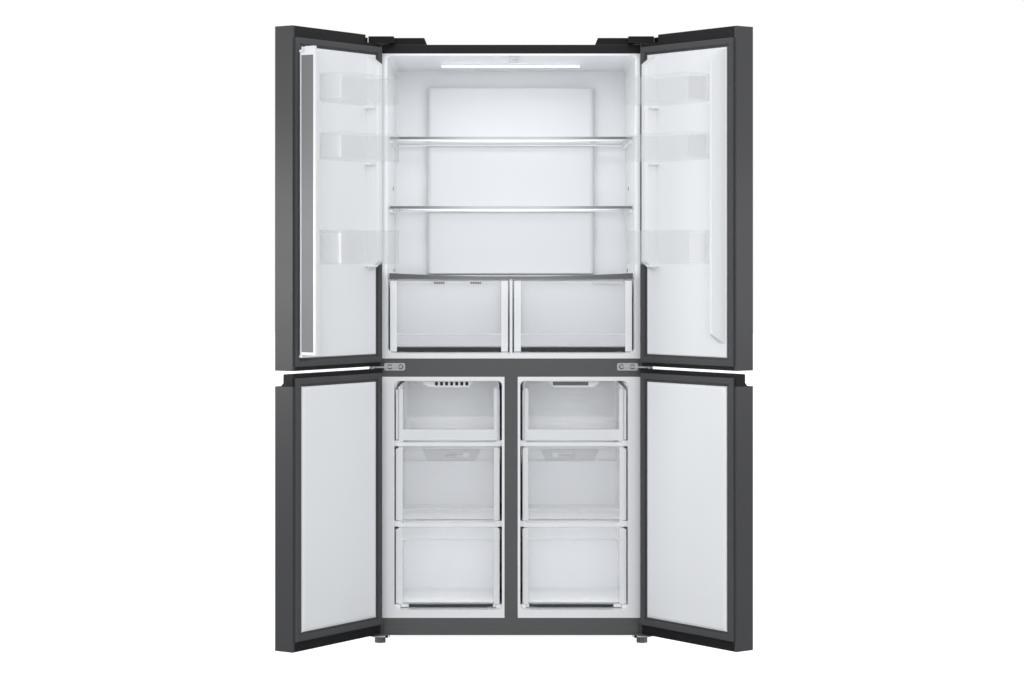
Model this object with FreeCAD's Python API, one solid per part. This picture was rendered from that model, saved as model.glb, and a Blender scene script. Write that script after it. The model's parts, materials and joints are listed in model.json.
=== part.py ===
import FreeCAD, Part
import math
import os

Vector = FreeCAD.Vector

# Four-door refrigerator, in millimetres: X across the front, Y from front to back, Z up.
# It is laid out with the cabinet's front plane at Y = 0 and the doors closed. Saving turns the
# doors to their open rest and shifts the model so that the origin is on the floor in its middle.

# Cabinet
CABINET_WIDTH = 835.0
CABINET_DEPTH = 660.0
CABINET_BOTTOM = 28.0
CABINET_TOP = 1767.0
CASE_SHEET = 1.0
CASE_RADIUS = 6.0
STILE_WIDTH = 36.0

# Front rails
TOP_RAIL_HEIGHT = 26.0
CENTRE_RAIL_BOTTOM = 789.0
CENTRE_RAIL_HEIGHT = 54.0
BASE_RAIL_HEIGHT = 51.0
MULLION_WIDTH = 39.0
RAIL_DEPTH = 16.0
RAIL_SHEET = 1.2

# Liners
LINER_SHEET = 2.0
LINER_RADIUS = 14.0
FRIDGE_WALL = 51.5
FRIDGE_FLOOR_LIP = 15.0
FRIDGE_CEILING_LIP = 6.0
FRIDGE_BACK_WALL = 70.0
FREEZER_WALL = 72.5
FREEZER_PARTITION = 54.0
FREEZER_FLOOR_LIP = 23.0
FREEZER_CEILING_LIP = 12.0
FREEZER_BACK_WALL = 95.0

# Machine room at the bottom of the back
MACHINE_ROOM_DEPTH = 220.0
MACHINE_ROOM_HEIGHT = 212.0
MACHINE_ROOM_SLOPE = 40.0
MACHINE_ROOM_INSULATION = 55.0
BASE_SHEET = 1.2
COVER_SHEET = 1.0
COVER_SIDE_GAP = 4.0
COVER_SLOT_HEIGHT = 7.0
COVER_SLOT_LENGTH = 110.0
COVER_SLOT_PITCH = 20.0
COVER_SLOT_MARGIN = 30.0

# Doors
DOOR_THICKNESS = 66.0
DOOR_GAP = 8.0
DOOR_SIDE_INSET = 1.0
DOOR_MIDDLE_GAP = 3.0
DOOR_RISE = 20.0
DOOR_SPLIT_RISE = 29.5
DOOR_SPLIT_GAP = 9.0
DOOR_FLOOR_RISE = 10.5
DOOR_RADIUS = 6.0
DOOR_SHEET = 1.0
DOOR_RETURN = 8.0
LEFT_DOOR_ANGLE = 124.0
RIGHT_DOOR_ANGLE = 127.0
UPPER_TOP_CAP = 32.0
UPPER_BOTTOM_CAP = 11.0
LOWER_TOP_CAP = 11.0
LOWER_BOTTOM_CAP = 28.0
GRIP_HEIGHT = 35.0
GRIP_DEPTH = 33.0
GRIP_CAP_PLUG = 14.0
GRIP_SCOOP = 10.0

# Gaskets and inner door liners
GASKET_INSET = 8.0
GASKET_SIDE_WIDTH = 28.0
GASKET_END_WIDTH = 24.0
GASKET_BULB = 18.0
GASKET_BASE = 2.0
GASKET_CLEARANCE = 0.4
GASKET_ROUND = 3.0
DOOR_LINER_RISE = 6.0
DOOR_LINER_ROUND = 4.0
DOOR_LINER_CLEARANCE = 0.5
DYKE_WIDTH = 25.0
DYKE_FROM_HINGE = 55.0
DYKE_FROM_FREE_EDGE = 40.0
HINGE_DYKE_HEIGHT = 46.0
HINGE_DYKE_RISE = 277.0
HINGE_DYKE_ROUND = 8.0
FREE_DYKE_HEIGHT = 44.0
FREE_DYKE_RISE = 62.0
FREE_DYKE_CREST = 9.0
FREE_DYKE_ROUND = 3.0
DYKE_DROP = 60.0
DYKE_SLOPE = 30.0

# Door bins, with their floors measured down from the door's top and up from its bottom
BIN_REACH = 128.0
BIN_BACK = 8.0
BIN_WALL = 2.5
BIN_CORNER = 12.0
BIN_RIM = 8.0
BIN_RIM_STEP = 1.5
BIN_SIDE_GAP = 2.0
BIN_LEDGE_REACH = 12.0
BIN_LEDGE_HEIGHT = 7.0
TOP_BIN_DROP = 209.0
TOP_BIN_HEIGHT = 79.0
MIDDLE_BIN_DROP = 372.0
MIDDLE_BIN_HEIGHT = 76.0
BOTTOM_BIN_RISE = 297.0
BOTTOM_BIN_HEIGHT = 98.0

# Folding mullion flap on the upper left door
FLAP_WIDTH = 60.0
FLAP_THICKNESS = 18.0
FLAP_INSET = 18.0
FLAP_PIVOT_INSET = 5.0
FLAP_PIVOT_ROUND = 4.9
FLAP_FACE_CLEARANCE = 1.0
FLAP_FLOOR_GAP = 10.0
FLAP_CEILING_GAP = 23.0
FLAP_PIN_RADIUS = 2.5
FLAP_PIN_LENGTH = 6.0
FLAP_TAB_HEIGHT = 7.0
FLAP_TAB_GAP = 0.5
FLAP_PLATE_WIDTH = 42.0
FLAP_PLATE_OFFSET = 8.0
FLAP_PLATE_THICKNESS = 1.2
FLAP_LUG_OFFSET = 16.0
FLAP_LUG_LENGTH = 36.0
FLAP_LUG_HEIGHT = 17.0
FLAP_LUG_WALL = 3.0
FLAP_GUIDE_LENGTH = 34.0
FLAP_GUIDE_WIDTH = 30.0
FLAP_GUIDE_SETBACK = 26.0
FLAP_GUIDE_LEFT = 6.0
FLAP_GUIDE_HEIGHT = 16.0

# Hinges
HINGE_FROM_SIDE = 12.0
HINGE_FROM_FRONT = 34.0
PIN_RADIUS = 5.0
RUNNING_CLEARANCE = 0.1
HINGE_PLATE = 4.0
HINGE_ARM_HALF = 9.0
TOP_HINGE_LENGTH = 84.0
TOP_HINGE_WIDTH = 62.0
TOP_PIN_LENGTH = 9.0
NOTCH_WIDTH = 80.0
NOTCH_DEPTH = 53.0
NOTCH_HEIGHT = 22.0
HINGE_COVER_WALL = 2.0
HINGE_COVER_LENGTH = 170.0
HINGE_COVER_SLANT = 8.0
HINGE_COVER_NECK = 74.0
HINGE_COVER_NOSE = 20.0
HINGE_COVER_BACK = 104.0
CENTRE_HINGE_START = 43.5
CENTRE_HINGE_LENGTH = 62.0
CENTRE_HINGE_HEIGHT = 22.0
CENTRE_HINGE_SHEET = 3.0
CENTRE_PIN_LENGTH = 10.0
BOTTOM_HINGE_HEIGHT = 27.0
BOTTOM_HINGE_LENGTH = 62.0
BOTTOM_HINGE_RISE = 2.5
BOTTOM_PIN_LENGTH = 14.0

# Fridge compartment
DUCT_WIDTH = 530.0
DUCT_DEPTH = 37.0
DUCT_TOP_GAP = 57.0
DUCT_BOTTOM_GAP = 6.0
DUCT_WALL = 3.0
DUCT_ROUND = 16.0
DUCT_SLOT_LENGTH = 60.0
DUCT_SLOT_COUNT = 4
LIGHT_LENGTH = 424.0
LIGHT_WIDTH = 26.0
LIGHT_DEPTH = 9.0
LIGHT_SETBACK = 300.0
SHELF_FRONT = 130.0
SHELF_SIDE_GAP = 2.0
SHELF_BACK_GAP = 4.0
SHELF_FRAME_HEIGHT = 9.0
SHELF_FRAME_BITE = 6.0
SHELF_FRAME_BAR = 14.0
SHELF_LIP = 2.0
SHELF_BOW = 8.0
GLASS = 4.0
LOWER_SHELF_RISE = 211.0
UPPER_SHELF_RISE = 208.0
SHELF_RIB_REACH = 9.0
SHELF_RIB_HEIGHT = 10.0
CRISPER_COVER_FRONT = 84.0
CRISPER_COVER_BAR_RISE = 10.0
CRISPER_HEIGHT = 200.0
CRISPER_BACK_GAP = 40.0
CRISPER_FRONT = 89.0
CRISPER_FRONT_WALL = 18.0
CRISPER_FRAME = 21.0
CRISPER_TOP_BAR = 8.0
CRISPER_PULL = 41.0
CRISPER_WALL = 3.0
CRISPER_SIDE_GAP = 5.0
CRISPER_TOP_GAP = 3.0
CRISPER_BODY_INSET = 8.0
CRISPER_DIVIDER = 8.0
RUNNER_HEIGHT = 14.0
RUNNER_WIDTH = 14.0
RUNNER_INSET = 30.0
SLIDE_CLEARANCE = 0.3

# Freezer drawers
DRAWER_FRONT = 40.0
DRAWER_SIDE_GAP = 9.0
DRAWER_BACK_GAP = 12.0
DRAWER_WALL = 3.0
DRAWER_FRONT_WALL = 16.0
DRAWER_FRAME = 15.0
DRAWER_EDGE_BAR = 6.0
DRAWER_PULL = 35.0
DRAWER_LIP = 3.0
DRAWER_BACK_DROP = 78.0
TRAY_FRONT_WALL = 10.0
DRAWER_ROUND = 10.0
DRAWER_RIB_REACH = 17.0
DRAWER_RIB_HEIGHT = 17.0
DRAWER_FLOOR_RIB = 11.0
DRAWER_HEADROOM = 3.0
CROSS_RAIL_DROP = 6.0
CROSS_RAIL_DEPTH = 12.0
TOP_DRAWER_HEADROOM = 24.0
TOP_DRAWER_LIP = 32.0
MIDDLE_DRAWER_HEIGHT = 218.0
BOTTOM_DRAWER_HEIGHT = 227.0

# Cold air pieces in the freezer
EVAPORATOR_SPACE = 64.0
REAR_DUCT_SHEET = 3.0
REAR_DUCT_SIDE_GAP = 6.0
REAR_DUCT_FOOT = 8.0
REAR_DUCT_TOP_GAP = 40.0
REAR_OUTLET_WIDTH = 72.0
REAR_OUTLET_HEIGHT = 14.0
REAR_OUTLET_FRAME_DROP = 62.0
REAR_OUTLET_FRAME_WIDTH = 185.0
REAR_OUTLET_FRAME_HEIGHT = 36.0
REAR_OUTLET_FRAME_SLANT = 17.0
REAR_OUTLET_FRAME_DEPTH = 6.0
CEILING_DUCT_WIDTH = 160.0
CEILING_DUCT_DEPTH = 120.0
CEILING_DUCT_HEIGHT = 20.0
CEILING_DUCT_SETBACK = 34.0
CEILING_SLITS = 7
CEILING_SLIT_WIDTH = 9.0
CEILING_SLIT_PITCH = 15.0
CEILING_SLIT_HEIGHT = 11.0
CEILING_SLIT_DEPTH = 24.0
CEILING_SLIT_OFFSET = 10.0
EVAPORATOR_WIDTH = 236.0
EVAPORATOR_HEIGHT = 170.0
EVAPORATOR_DEPTH = 48.0
EVAPORATOR_FINS = 8
FIN_SHEET = 1.2
TUBE_RADIUS = 4.5
TUBE_SIDES = 6
TUBE_PITCH = 56.0

# Fans and machine room pieces
FREEZER_FAN_RADIUS = 50.0
CONDENSER_FAN_RADIUS = 70.0
FAN_DEPTH = 16.0
FAN_HUB_RADIUS = 15.0
FAN_SHAFT_RADIUS = 3.0
FAN_BLADES = 5
FAN_BLADE_SHEET = 2.0
FAN_BLADE_PITCH = 32.0
FAN_MOTOR_RADIUS = 18.0
FAN_MOTOR_LENGTH = 22.0
FAN_MOTOR_GAP = 2.0
FAN_CLEARANCE = 8.0
COMPRESSOR_RADIUS = 66.0
COMPRESSOR_HEIGHT = 150.0
COMPRESSOR_DOME = 34.0
COMPRESSOR_DOME_STEPS = 2
COMPRESSOR_SEAM = 4.0
COMPRESSOR_FOOT = 12.0
COMPRESSOR_FOOT_SHEET = 4.0
COMPRESSOR_FOOT_REACH = 14.0
COMPRESSOR_FROM_CENTRE = 210.0
CONDENSER_LENGTH = 210.0
CONDENSER_HEIGHT = 126.0
CONDENSER_DEPTH = 120.0
CONDENSER_FROM_CENTRE = 130.0
CONDENSER_FINS = 8
DRIP_TRAY_HEIGHT = 30.0
DRIP_TRAY_WALL = 2.0
DRIP_TRAY_MARGIN = 22.0

# Feet and rollers
FOOT_RADIUS = 16.0
FOOT_HEIGHT = 15.0
FOOT_COLLAR_RADIUS = 9.0
FOOT_STUD_RADIUS = 4.5
FOOT_STUD_TOP = 46.0
FOOT_FROM_SIDE = 29.5
FOOT_SETBACK = 45.0
FOOT_TEETH = 10
FOOT_TOOTH_DEPTH = 2.0
ROLLER_RADIUS = 13.0
ROLLER_WIDTH = 20.0
ROLLER_AXLE_RADIUS = 3.5
ROLLER_FROM_SIDE = 70.0
ROLLER_FROM_BACK = 60.0
ROLLER_SIDE_GAP = 1.0
ROLLER_FORK = 2.5
ROLLER_FORK_LENGTH = 22.0

# Places that follow from the sizes above
CUT = 5.0
TOUCH = 0.5
HALF_WIDTH = CABINET_WIDTH / 2
INNER_HALF = HALF_WIDTH - CASE_SHEET
STILE_EDGE = HALF_WIDTH - STILE_WIDTH
TOP_RAIL_BOTTOM = CABINET_TOP - TOP_RAIL_HEIGHT
CENTRE_RAIL_TOP = CENTRE_RAIL_BOTTOM + CENTRE_RAIL_HEIGHT
BASE_RAIL_TOP = CABINET_BOTTOM + BASE_RAIL_HEIGHT
FRIDGE_HALF = HALF_WIDTH - FRIDGE_WALL
FRIDGE_DEPTH = CABINET_DEPTH - FRIDGE_BACK_WALL
FRIDGE_FLOOR = CENTRE_RAIL_TOP + FRIDGE_FLOOR_LIP
FRIDGE_CEILING = TOP_RAIL_BOTTOM - FRIDGE_CEILING_LIP
FREEZER_DEPTH = CABINET_DEPTH - FREEZER_BACK_WALL
FREEZER_INNER = FREEZER_PARTITION / 2
FREEZER_OUTER = HALF_WIDTH - FREEZER_WALL
FREEZER_MIDDLE = (FREEZER_INNER + FREEZER_OUTER) / 2
FREEZER_FLOOR = BASE_RAIL_TOP + FREEZER_FLOOR_LIP
FREEZER_CEILING = CENTRE_RAIL_BOTTOM - FREEZER_CEILING_LIP
MACHINE_ROOM_FRONT = CABINET_DEPTH - MACHINE_ROOM_DEPTH
MACHINE_ROOM_TOP = CABINET_BOTTOM + MACHINE_ROOM_HEIGHT
MACHINE_ROOM_MIDDLE = (MACHINE_ROOM_FRONT + CABINET_DEPTH) / 2
MACHINE_ROOM_FLOOR = CABINET_BOTTOM + BASE_SHEET
FREEZER_STEP_BACK = MACHINE_ROOM_FRONT - MACHINE_ROOM_INSULATION
FREEZER_STEP_TOP = MACHINE_ROOM_TOP + MACHINE_ROOM_INSULATION

DOOR_BACK = -DOOR_GAP
DOOR_FRONT = DOOR_BACK - DOOR_THICKNESS
DOOR_HINGE_EDGE = -(HALF_WIDTH - DOOR_SIDE_INSET)
DOOR_FREE_EDGE = -DOOR_MIDDLE_GAP / 2
DOOR_SPLIT = CENTRE_RAIL_BOTTOM + DOOR_SPLIT_RISE
UPPER_DOOR_BOTTOM = DOOR_SPLIT + DOOR_SPLIT_GAP / 2
UPPER_DOOR_TOP = CABINET_TOP + DOOR_RISE
LOWER_DOOR_BOTTOM = CABINET_BOTTOM + DOOR_FLOOR_RISE
LOWER_DOOR_TOP = DOOR_SPLIT - DOOR_SPLIT_GAP / 2
LOWER_SKIN_TOP = LOWER_DOOR_TOP - GRIP_HEIGHT
PIVOT_X = -(HALF_WIDTH - HINGE_FROM_SIDE)
PIVOT_Y = -HINGE_FROM_FRONT
NOTCH_FLOOR = UPPER_DOOR_TOP - NOTCH_HEIGHT

HINGE_DYKE = (DOOR_HINGE_EDGE + DYKE_FROM_HINGE, DOOR_HINGE_EDGE + DYKE_FROM_HINGE + DYKE_WIDTH)
FREE_DYKE = (DOOR_FREE_EDGE - DYKE_FROM_FREE_EDGE - DYKE_WIDTH, DOOR_FREE_EDGE - DYKE_FROM_FREE_EDGE)
BINS = (
    (UPPER_DOOR_TOP - TOP_BIN_DROP, TOP_BIN_HEIGHT),
    (UPPER_DOOR_TOP - MIDDLE_BIN_DROP, MIDDLE_BIN_HEIGHT),
    (UPPER_DOOR_BOTTOM + BOTTOM_BIN_RISE, BOTTOM_BIN_HEIGHT),
)

FLAP_FACE = DOOR_FREE_EDGE - FLAP_INSET
FLAP_AXIS_X = FLAP_FACE - FLAP_PIVOT_INSET
FLAP_AXIS_Y = FLAP_FACE_CLEARANCE + FLAP_PIVOT_INSET
FLAP_NEAR = FLAP_AXIS_Y - FLAP_PIVOT_INSET
FLAP_BOTTOM = FRIDGE_FLOOR + FLAP_FLOOR_GAP
FLAP_TOP = FRIDGE_CEILING - FLAP_CEILING_GAP

DUCT_FRONT = FRIDGE_DEPTH - DUCT_DEPTH
SHELF_BACK = DUCT_FRONT - SHELF_BACK_GAP
CRISPER_BOTTOM = FRIDGE_FLOOR + RUNNER_HEIGHT + SLIDE_CLEARANCE
CRISPER_COVER_TOP = CRISPER_BOTTOM + CRISPER_HEIGHT + CRISPER_TOP_GAP + SHELF_FRAME_HEIGHT
LOWER_SHELF_TOP = CRISPER_COVER_TOP + LOWER_SHELF_RISE
UPPER_SHELF_TOP = LOWER_SHELF_TOP + UPPER_SHELF_RISE
DUCT_BOTTOM = CRISPER_COVER_TOP + DUCT_BOTTOM_GAP
DUCT_TOP = FRIDGE_CEILING - DUCT_TOP_GAP
CRISPER_LEFT = -(FRIDGE_HALF - CRISPER_SIDE_GAP)
CRISPER_RIGHT = -(CRISPER_DIVIDER / 2 + CRISPER_SIDE_GAP)
CRISPER_BACK = SHELF_BACK - CRISPER_BACK_GAP

REAR_DUCT_BACK = FREEZER_DEPTH - EVAPORATOR_SPACE
REAR_DUCT_FRONT = REAR_DUCT_BACK - REAR_DUCT_SHEET
DRAWER_LEFT = -(FREEZER_OUTER - DRAWER_SIDE_GAP)
DRAWER_RIGHT = -(FREEZER_INNER + DRAWER_SIDE_GAP)
BOTTOM_DRAWER_FLOOR = FREEZER_FLOOR + DRAWER_FLOOR_RIB + SLIDE_CLEARANCE
MIDDLE_RIB_TOP = BOTTOM_DRAWER_FLOOR + BOTTOM_DRAWER_HEIGHT + DRAWER_HEADROOM + DRAWER_RIB_HEIGHT
MIDDLE_DRAWER_FLOOR = MIDDLE_RIB_TOP + SLIDE_CLEARANCE
TOP_RIB_TOP = MIDDLE_DRAWER_FLOOR + MIDDLE_DRAWER_HEIGHT + DRAWER_HEADROOM + DRAWER_RIB_HEIGHT
TOP_DRAWER_FLOOR = TOP_RIB_TOP + SLIDE_CLEARANCE
TOP_DRAWER_HEIGHT = FREEZER_CEILING - TOP_DRAWER_HEADROOM - TOP_DRAWER_FLOOR
LONG_DRAWER_BACK = REAR_DUCT_FRONT - DRAWER_BACK_GAP
SHORT_DRAWER_BACK = FREEZER_STEP_BACK - DRAWER_BACK_GAP

FLAP_TIP_X = FLAP_FACE - PIVOT_X
FLAP_TIP_Y = FLAP_NEAR + FLAP_WIDTH - PIVOT_Y
OPEN_TURN = math.radians(LEFT_DOOR_ANGLE)
FRONT_REACH = FLAP_TIP_X * math.sin(OPEN_TURN) - FLAP_TIP_Y * math.cos(OPEN_TURN) - PIVOT_Y
ORIGIN_SHIFT = Vector(0, (FRONT_REACH - CABINET_DEPTH) / 2, 0)


# Shape helpers

def block(x, y, z):
    """A box between three pairs of limits."""
    return Part.makeBox(x[1] - x[0], y[1] - y[0], z[1] - z[0], Vector(x[0], y[0], z[0]))


def rod(radius, start, end):
    """A round bar between two points."""
    return Part.makeCylinder(radius, (end - start).Length, start, end - start)


def prism(points, sweep):
    """A closed outline of points, swept along a vector."""
    return Part.Face(Part.makePolygon(points + [points[0]])).extrude(sweep)


def joined(first, *others):
    """Several touching solids as one."""
    return first.multiFuse(list(others)).removeSplitter()


def edges_along(shape, axis, chosen=None):
    """The straight edges that run along an axis, and whose middles the chosen test keeps."""
    found = []
    for edge in shape.Edges:
        if not isinstance(edge.Curve, Part.Line):
            continue
        if abs(edge.tangentAt(edge.FirstParameter).dot(axis)) < 0.999:
            continue
        if chosen is None or chosen(edge.CenterOfMass):
            found.append(edge)
    return found


def rounded(shape, radius, axis, chosen=None):
    """The shape with those edges rounded."""
    return shape.makeFillet(radius, edges_along(shape, axis, chosen))


def mirrored(shape):
    """The same piece on the other side of the refrigerator."""
    return shape.mirror(Vector(0, 0, 0), Vector(1, 0, 0))


def both_sides(shape):
    """A left-hand piece and its right-hand twin."""
    return [shape, mirrored(shape)]


ALONG_X = Vector(1, 0, 0)
ALONG_Y = Vector(0, 1, 0)
ALONG_Z = Vector(0, 0, 1)


def save(name, solids, turn=None):
    """Write one named piece, or a group of like pieces, at its place in the part's frame."""
    placed = []
    for solid in solids:
        copy = solid.copy()
        if turn is not None:
            pivot, angle = turn
            copy.rotate(pivot, ALONG_Z, angle)
        copy.translate(ORIGIN_SHIFT)
        placed.append(copy)
    shape = placed[0] if len(placed) == 1 else Part.makeCompound(placed)
    shape.exportStep(os.path.join("parts", name + ".step"))


# Cabinet

def case_block(offset):
    """The cabinet's outer form, or the same form a little inside it, with its top edges rounded."""
    half = HALF_WIDTH - offset
    top = CABINET_TOP - offset
    form = block((-half, half), (0, CABINET_DEPTH), (CABINET_BOTTOM, top))
    return rounded(form, CASE_RADIUS - offset, ALONG_Y, lambda middle: middle.z > top - CUT)


def cabinet_shell():
    """The steel wrap over the sides and top, with its front edges folded in behind the doors."""
    wrap = case_block(0).cut(case_block(CASE_SHEET))
    stile_x = (-INNER_HALF - CASE_SHEET / 2, -STILE_EDGE)
    stile = block(stile_x, (0, CASE_SHEET), (BASE_RAIL_TOP, TOP_RAIL_BOTTOM))
    return joined(wrap, *both_sides(stile))


def back_panel():
    """The flat sheet that closes the back above the machine room."""
    sheet = block(
        (-HALF_WIDTH, HALF_WIDTH),
        (CABINET_DEPTH - CASE_SHEET, CABINET_DEPTH),
        (MACHINE_ROOM_TOP + BASE_SHEET, CABINET_TOP),
    )
    return case_block(CASE_SHEET).common(sheet)


def machine_room(offset):
    """The room for the compressor, or the same room grown by the sheet that lines it."""
    front = MACHINE_ROOM_FRONT - offset
    top = MACHINE_ROOM_TOP + offset
    slope = MACHINE_ROOM_SLOPE + offset * (2 - math.sqrt(2))
    outline = [
        Vector(-INNER_HALF, front, CABINET_BOTTOM),
        Vector(-INNER_HALF, CABINET_DEPTH, CABINET_BOTTOM),
        Vector(-INNER_HALF, CABINET_DEPTH, top),
        Vector(-INNER_HALF, front + slope, top),
        Vector(-INNER_HALF, front, top - slope),
    ]
    return prism(outline, Vector(2 * INNER_HALF, 0, 0))


def foot_holes(radius, top):
    """Clear holes over the two front feet."""
    hole = rod(
        radius,
        Vector(-(HALF_WIDTH - FOOT_FROM_SIDE), FOOT_SETBACK, CABINET_BOTTOM - CUT),
        Vector(-(HALF_WIDTH - FOOT_FROM_SIDE), FOOT_SETBACK, top),
    )
    return both_sides(hole)


def base_plate():
    """The bottom sheet: flat under the freezer, stepped up over the machine room, with its floor."""
    floor = block(
        (-INNER_HALF, INNER_HALF),
        (RAIL_DEPTH, CABINET_DEPTH - COVER_SHEET),
        (CABINET_BOTTOM, MACHINE_ROOM_FLOOR),
    )
    lining = machine_room(BASE_SHEET).cut(machine_room(0))
    plate = joined(floor, lining)
    return plate.cut(foot_holes(FOOT_STUD_RADIUS + SLIDE_CLEARANCE, MACHINE_ROOM_FLOOR + CUT))


def channel(x, z):
    """A rail folded from sheet, open at the back."""
    wall = RAIL_SHEET
    bar = block(x, (0, RAIL_DEPTH), z)
    hollow = block((x[0] + wall, x[1] - wall), (wall, RAIL_DEPTH + CUT), (z[0] + wall, z[1] - wall))
    return bar.cut(hollow)


def top_rail():
    """The rail across the top of the front."""
    rail = channel((-INNER_HALF, INNER_HALF), (TOP_RAIL_BOTTOM, CABINET_TOP - CASE_SHEET))
    return case_block(CASE_SHEET).common(rail)


def centre_rail():
    """The rail between the fridge and the freezer, with the mullion between the freezer doors."""
    rail = channel((-STILE_EDGE, STILE_EDGE), (CENTRE_RAIL_BOTTOM, CENTRE_RAIL_TOP))
    half = MULLION_WIDTH / 2
    mullion = channel((-half, half), (BASE_RAIL_TOP, CENTRE_RAIL_BOTTOM))
    return joined(rail, mullion)


def base_rail():
    """The rail under the freezer doors."""
    return channel((-INNER_HALF, INNER_HALF), (CABINET_BOTTOM, BASE_RAIL_TOP))


def fridge_space(offset):
    """The room inside the fridge liner, or the same room grown by the liner's wall."""
    half = FRIDGE_HALF + offset
    back = FRIDGE_DEPTH + offset
    room = block((-half, half), (-CUT, back), (FRIDGE_FLOOR - offset, FRIDGE_CEILING + offset))
    room = rounded(room, LINER_RADIUS + offset, ALONG_Y)
    return room.common(block((-half, half), (0, back), (FRIDGE_FLOOR - offset, FRIDGE_CEILING + offset)))


def freezer_space(offset):
    """The left freezer room, with the step over the machine room, or the same room grown."""
    left = -FREEZER_OUTER - offset
    width = FREEZER_OUTER - FREEZER_INNER + 2 * offset
    low = FREEZER_FLOOR - offset
    high = FREEZER_CEILING + offset
    step_back = FREEZER_STEP_BACK + offset
    step_top = FREEZER_STEP_TOP - offset
    slope = MACHINE_ROOM_SLOPE
    back = FREEZER_DEPTH + offset
    lean = offset * (2 - math.sqrt(2))
    outline = [
        Vector(left, 0, low),
        Vector(left, step_back, low),
        Vector(left, step_back, step_top - slope + lean),
        Vector(left, step_back + slope - lean, step_top),
        Vector(left, back, step_top),
        Vector(left, back, high),
        Vector(left, 0, high),
    ]
    room = prism(outline, Vector(width, 0, 0))
    corners = LINER_RADIUS + offset
    return rounded(room, corners, ALONG_Y, lambda middle: middle.z > high - CUT or middle.z < low + CUT)


def shelf_rib(top, front, back):
    """A ledge on the left wall that carries a shelf."""
    return block(
        (-FRIDGE_HALF - LINER_SHEET / 2, -FRIDGE_HALF + SHELF_RIB_REACH),
        (front, back),
        (top - SHELF_RIB_HEIGHT, top),
    )


def fridge_liner():
    """The white moulded liner of the fridge with its front flange, shelf ledges and crisper runners."""
    room = fridge_space(0)
    wall = fridge_space(LINER_SHEET).cut(room)
    flange = block((-STILE_EDGE, STILE_EDGE), (0, LINER_SHEET), (CENTRE_RAIL_TOP, TOP_RAIL_BOTTOM)).cut(room)
    ribs = []
    for top in (LOWER_SHELF_TOP, UPPER_SHELF_TOP):
        ribs += both_sides(shelf_rib(top - SHELF_FRAME_HEIGHT, SHELF_FRONT + SHELF_FRAME_BAR, SHELF_BACK))
    cover_seat = CRISPER_COVER_TOP - SHELF_FRAME_HEIGHT
    back_ribs = shelf_rib(cover_seat, CRISPER_BACK + CRISPER_SIDE_GAP, SHELF_BACK)
    ribs += both_sides(back_ribs)
    runners = []
    for start in (CRISPER_LEFT + RUNNER_INSET, CRISPER_RIGHT - RUNNER_INSET - RUNNER_WIDTH):
        runner = block(
            (start, start + RUNNER_WIDTH),
            (CRISPER_FRONT + CRISPER_FRONT_WALL, CRISPER_BACK),
            (FRIDGE_FLOOR - LINER_SHEET / 2, FRIDGE_FLOOR + RUNNER_HEIGHT),
        )
        runners += both_sides(runner)
    return joined(wall, flange, *ribs, *runners)


def drawer_ribs():
    """The ledges in the left freezer room that its three drawers slide on, and the rails between them."""
    skin = LINER_SHEET / 2
    ribs = []
    for top in (MIDDLE_RIB_TOP, TOP_RIB_TOP):
        rail = block(
            (-FREEZER_OUTER - skin, -FREEZER_INNER + skin),
            (DRAWER_FRONT, DRAWER_FRONT + CROSS_RAIL_DEPTH),
            (top - DRAWER_RIB_HEIGHT, top - CROSS_RAIL_DROP),
        )
        ribs.append(rail)
    for x in (
        (-FREEZER_OUTER - skin, -FREEZER_OUTER + DRAWER_RIB_REACH),
        (-FREEZER_INNER - DRAWER_RIB_REACH, -FREEZER_INNER + skin),
    ):
        for top in (MIDDLE_RIB_TOP, TOP_RIB_TOP):
            ribs.append(block(x, (DRAWER_FRONT, REAR_DUCT_FRONT), (top - DRAWER_RIB_HEIGHT, top)))
        floor = (FREEZER_FLOOR - skin, FREEZER_FLOOR + DRAWER_FLOOR_RIB)
        ribs.append(block(x, (DRAWER_FRONT, SHORT_DRAWER_BACK), floor))
    return ribs


def freezer_liner():
    """The left freezer liner with its flange and drawer ledges."""
    room = freezer_space(0)
    wall = freezer_space(LINER_SHEET).cut(room)
    edge = MULLION_WIDTH / 2
    flange = block((-STILE_EDGE, -edge), (0, LINER_SHEET), (BASE_RAIL_TOP, CENTRE_RAIL_BOTTOM)).cut(room)
    return joined(wall, flange, *drawer_ribs())


def foam_insulation(neighbours):
    """The foam that fills the cabinet between the wrap, the liners, the rails and the machine room."""
    form = case_block(CASE_SHEET)
    rooms = [fridge_space(LINER_SHEET), machine_room(BASE_SHEET)]
    rooms += both_sides(freezer_space(LINER_SHEET))
    bores = foot_holes(FOOT_COLLAR_RADIUS, FOOT_STUD_TOP + CUT)
    return form.cut(rooms + neighbours + bores)


# Fridge compartment

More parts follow.
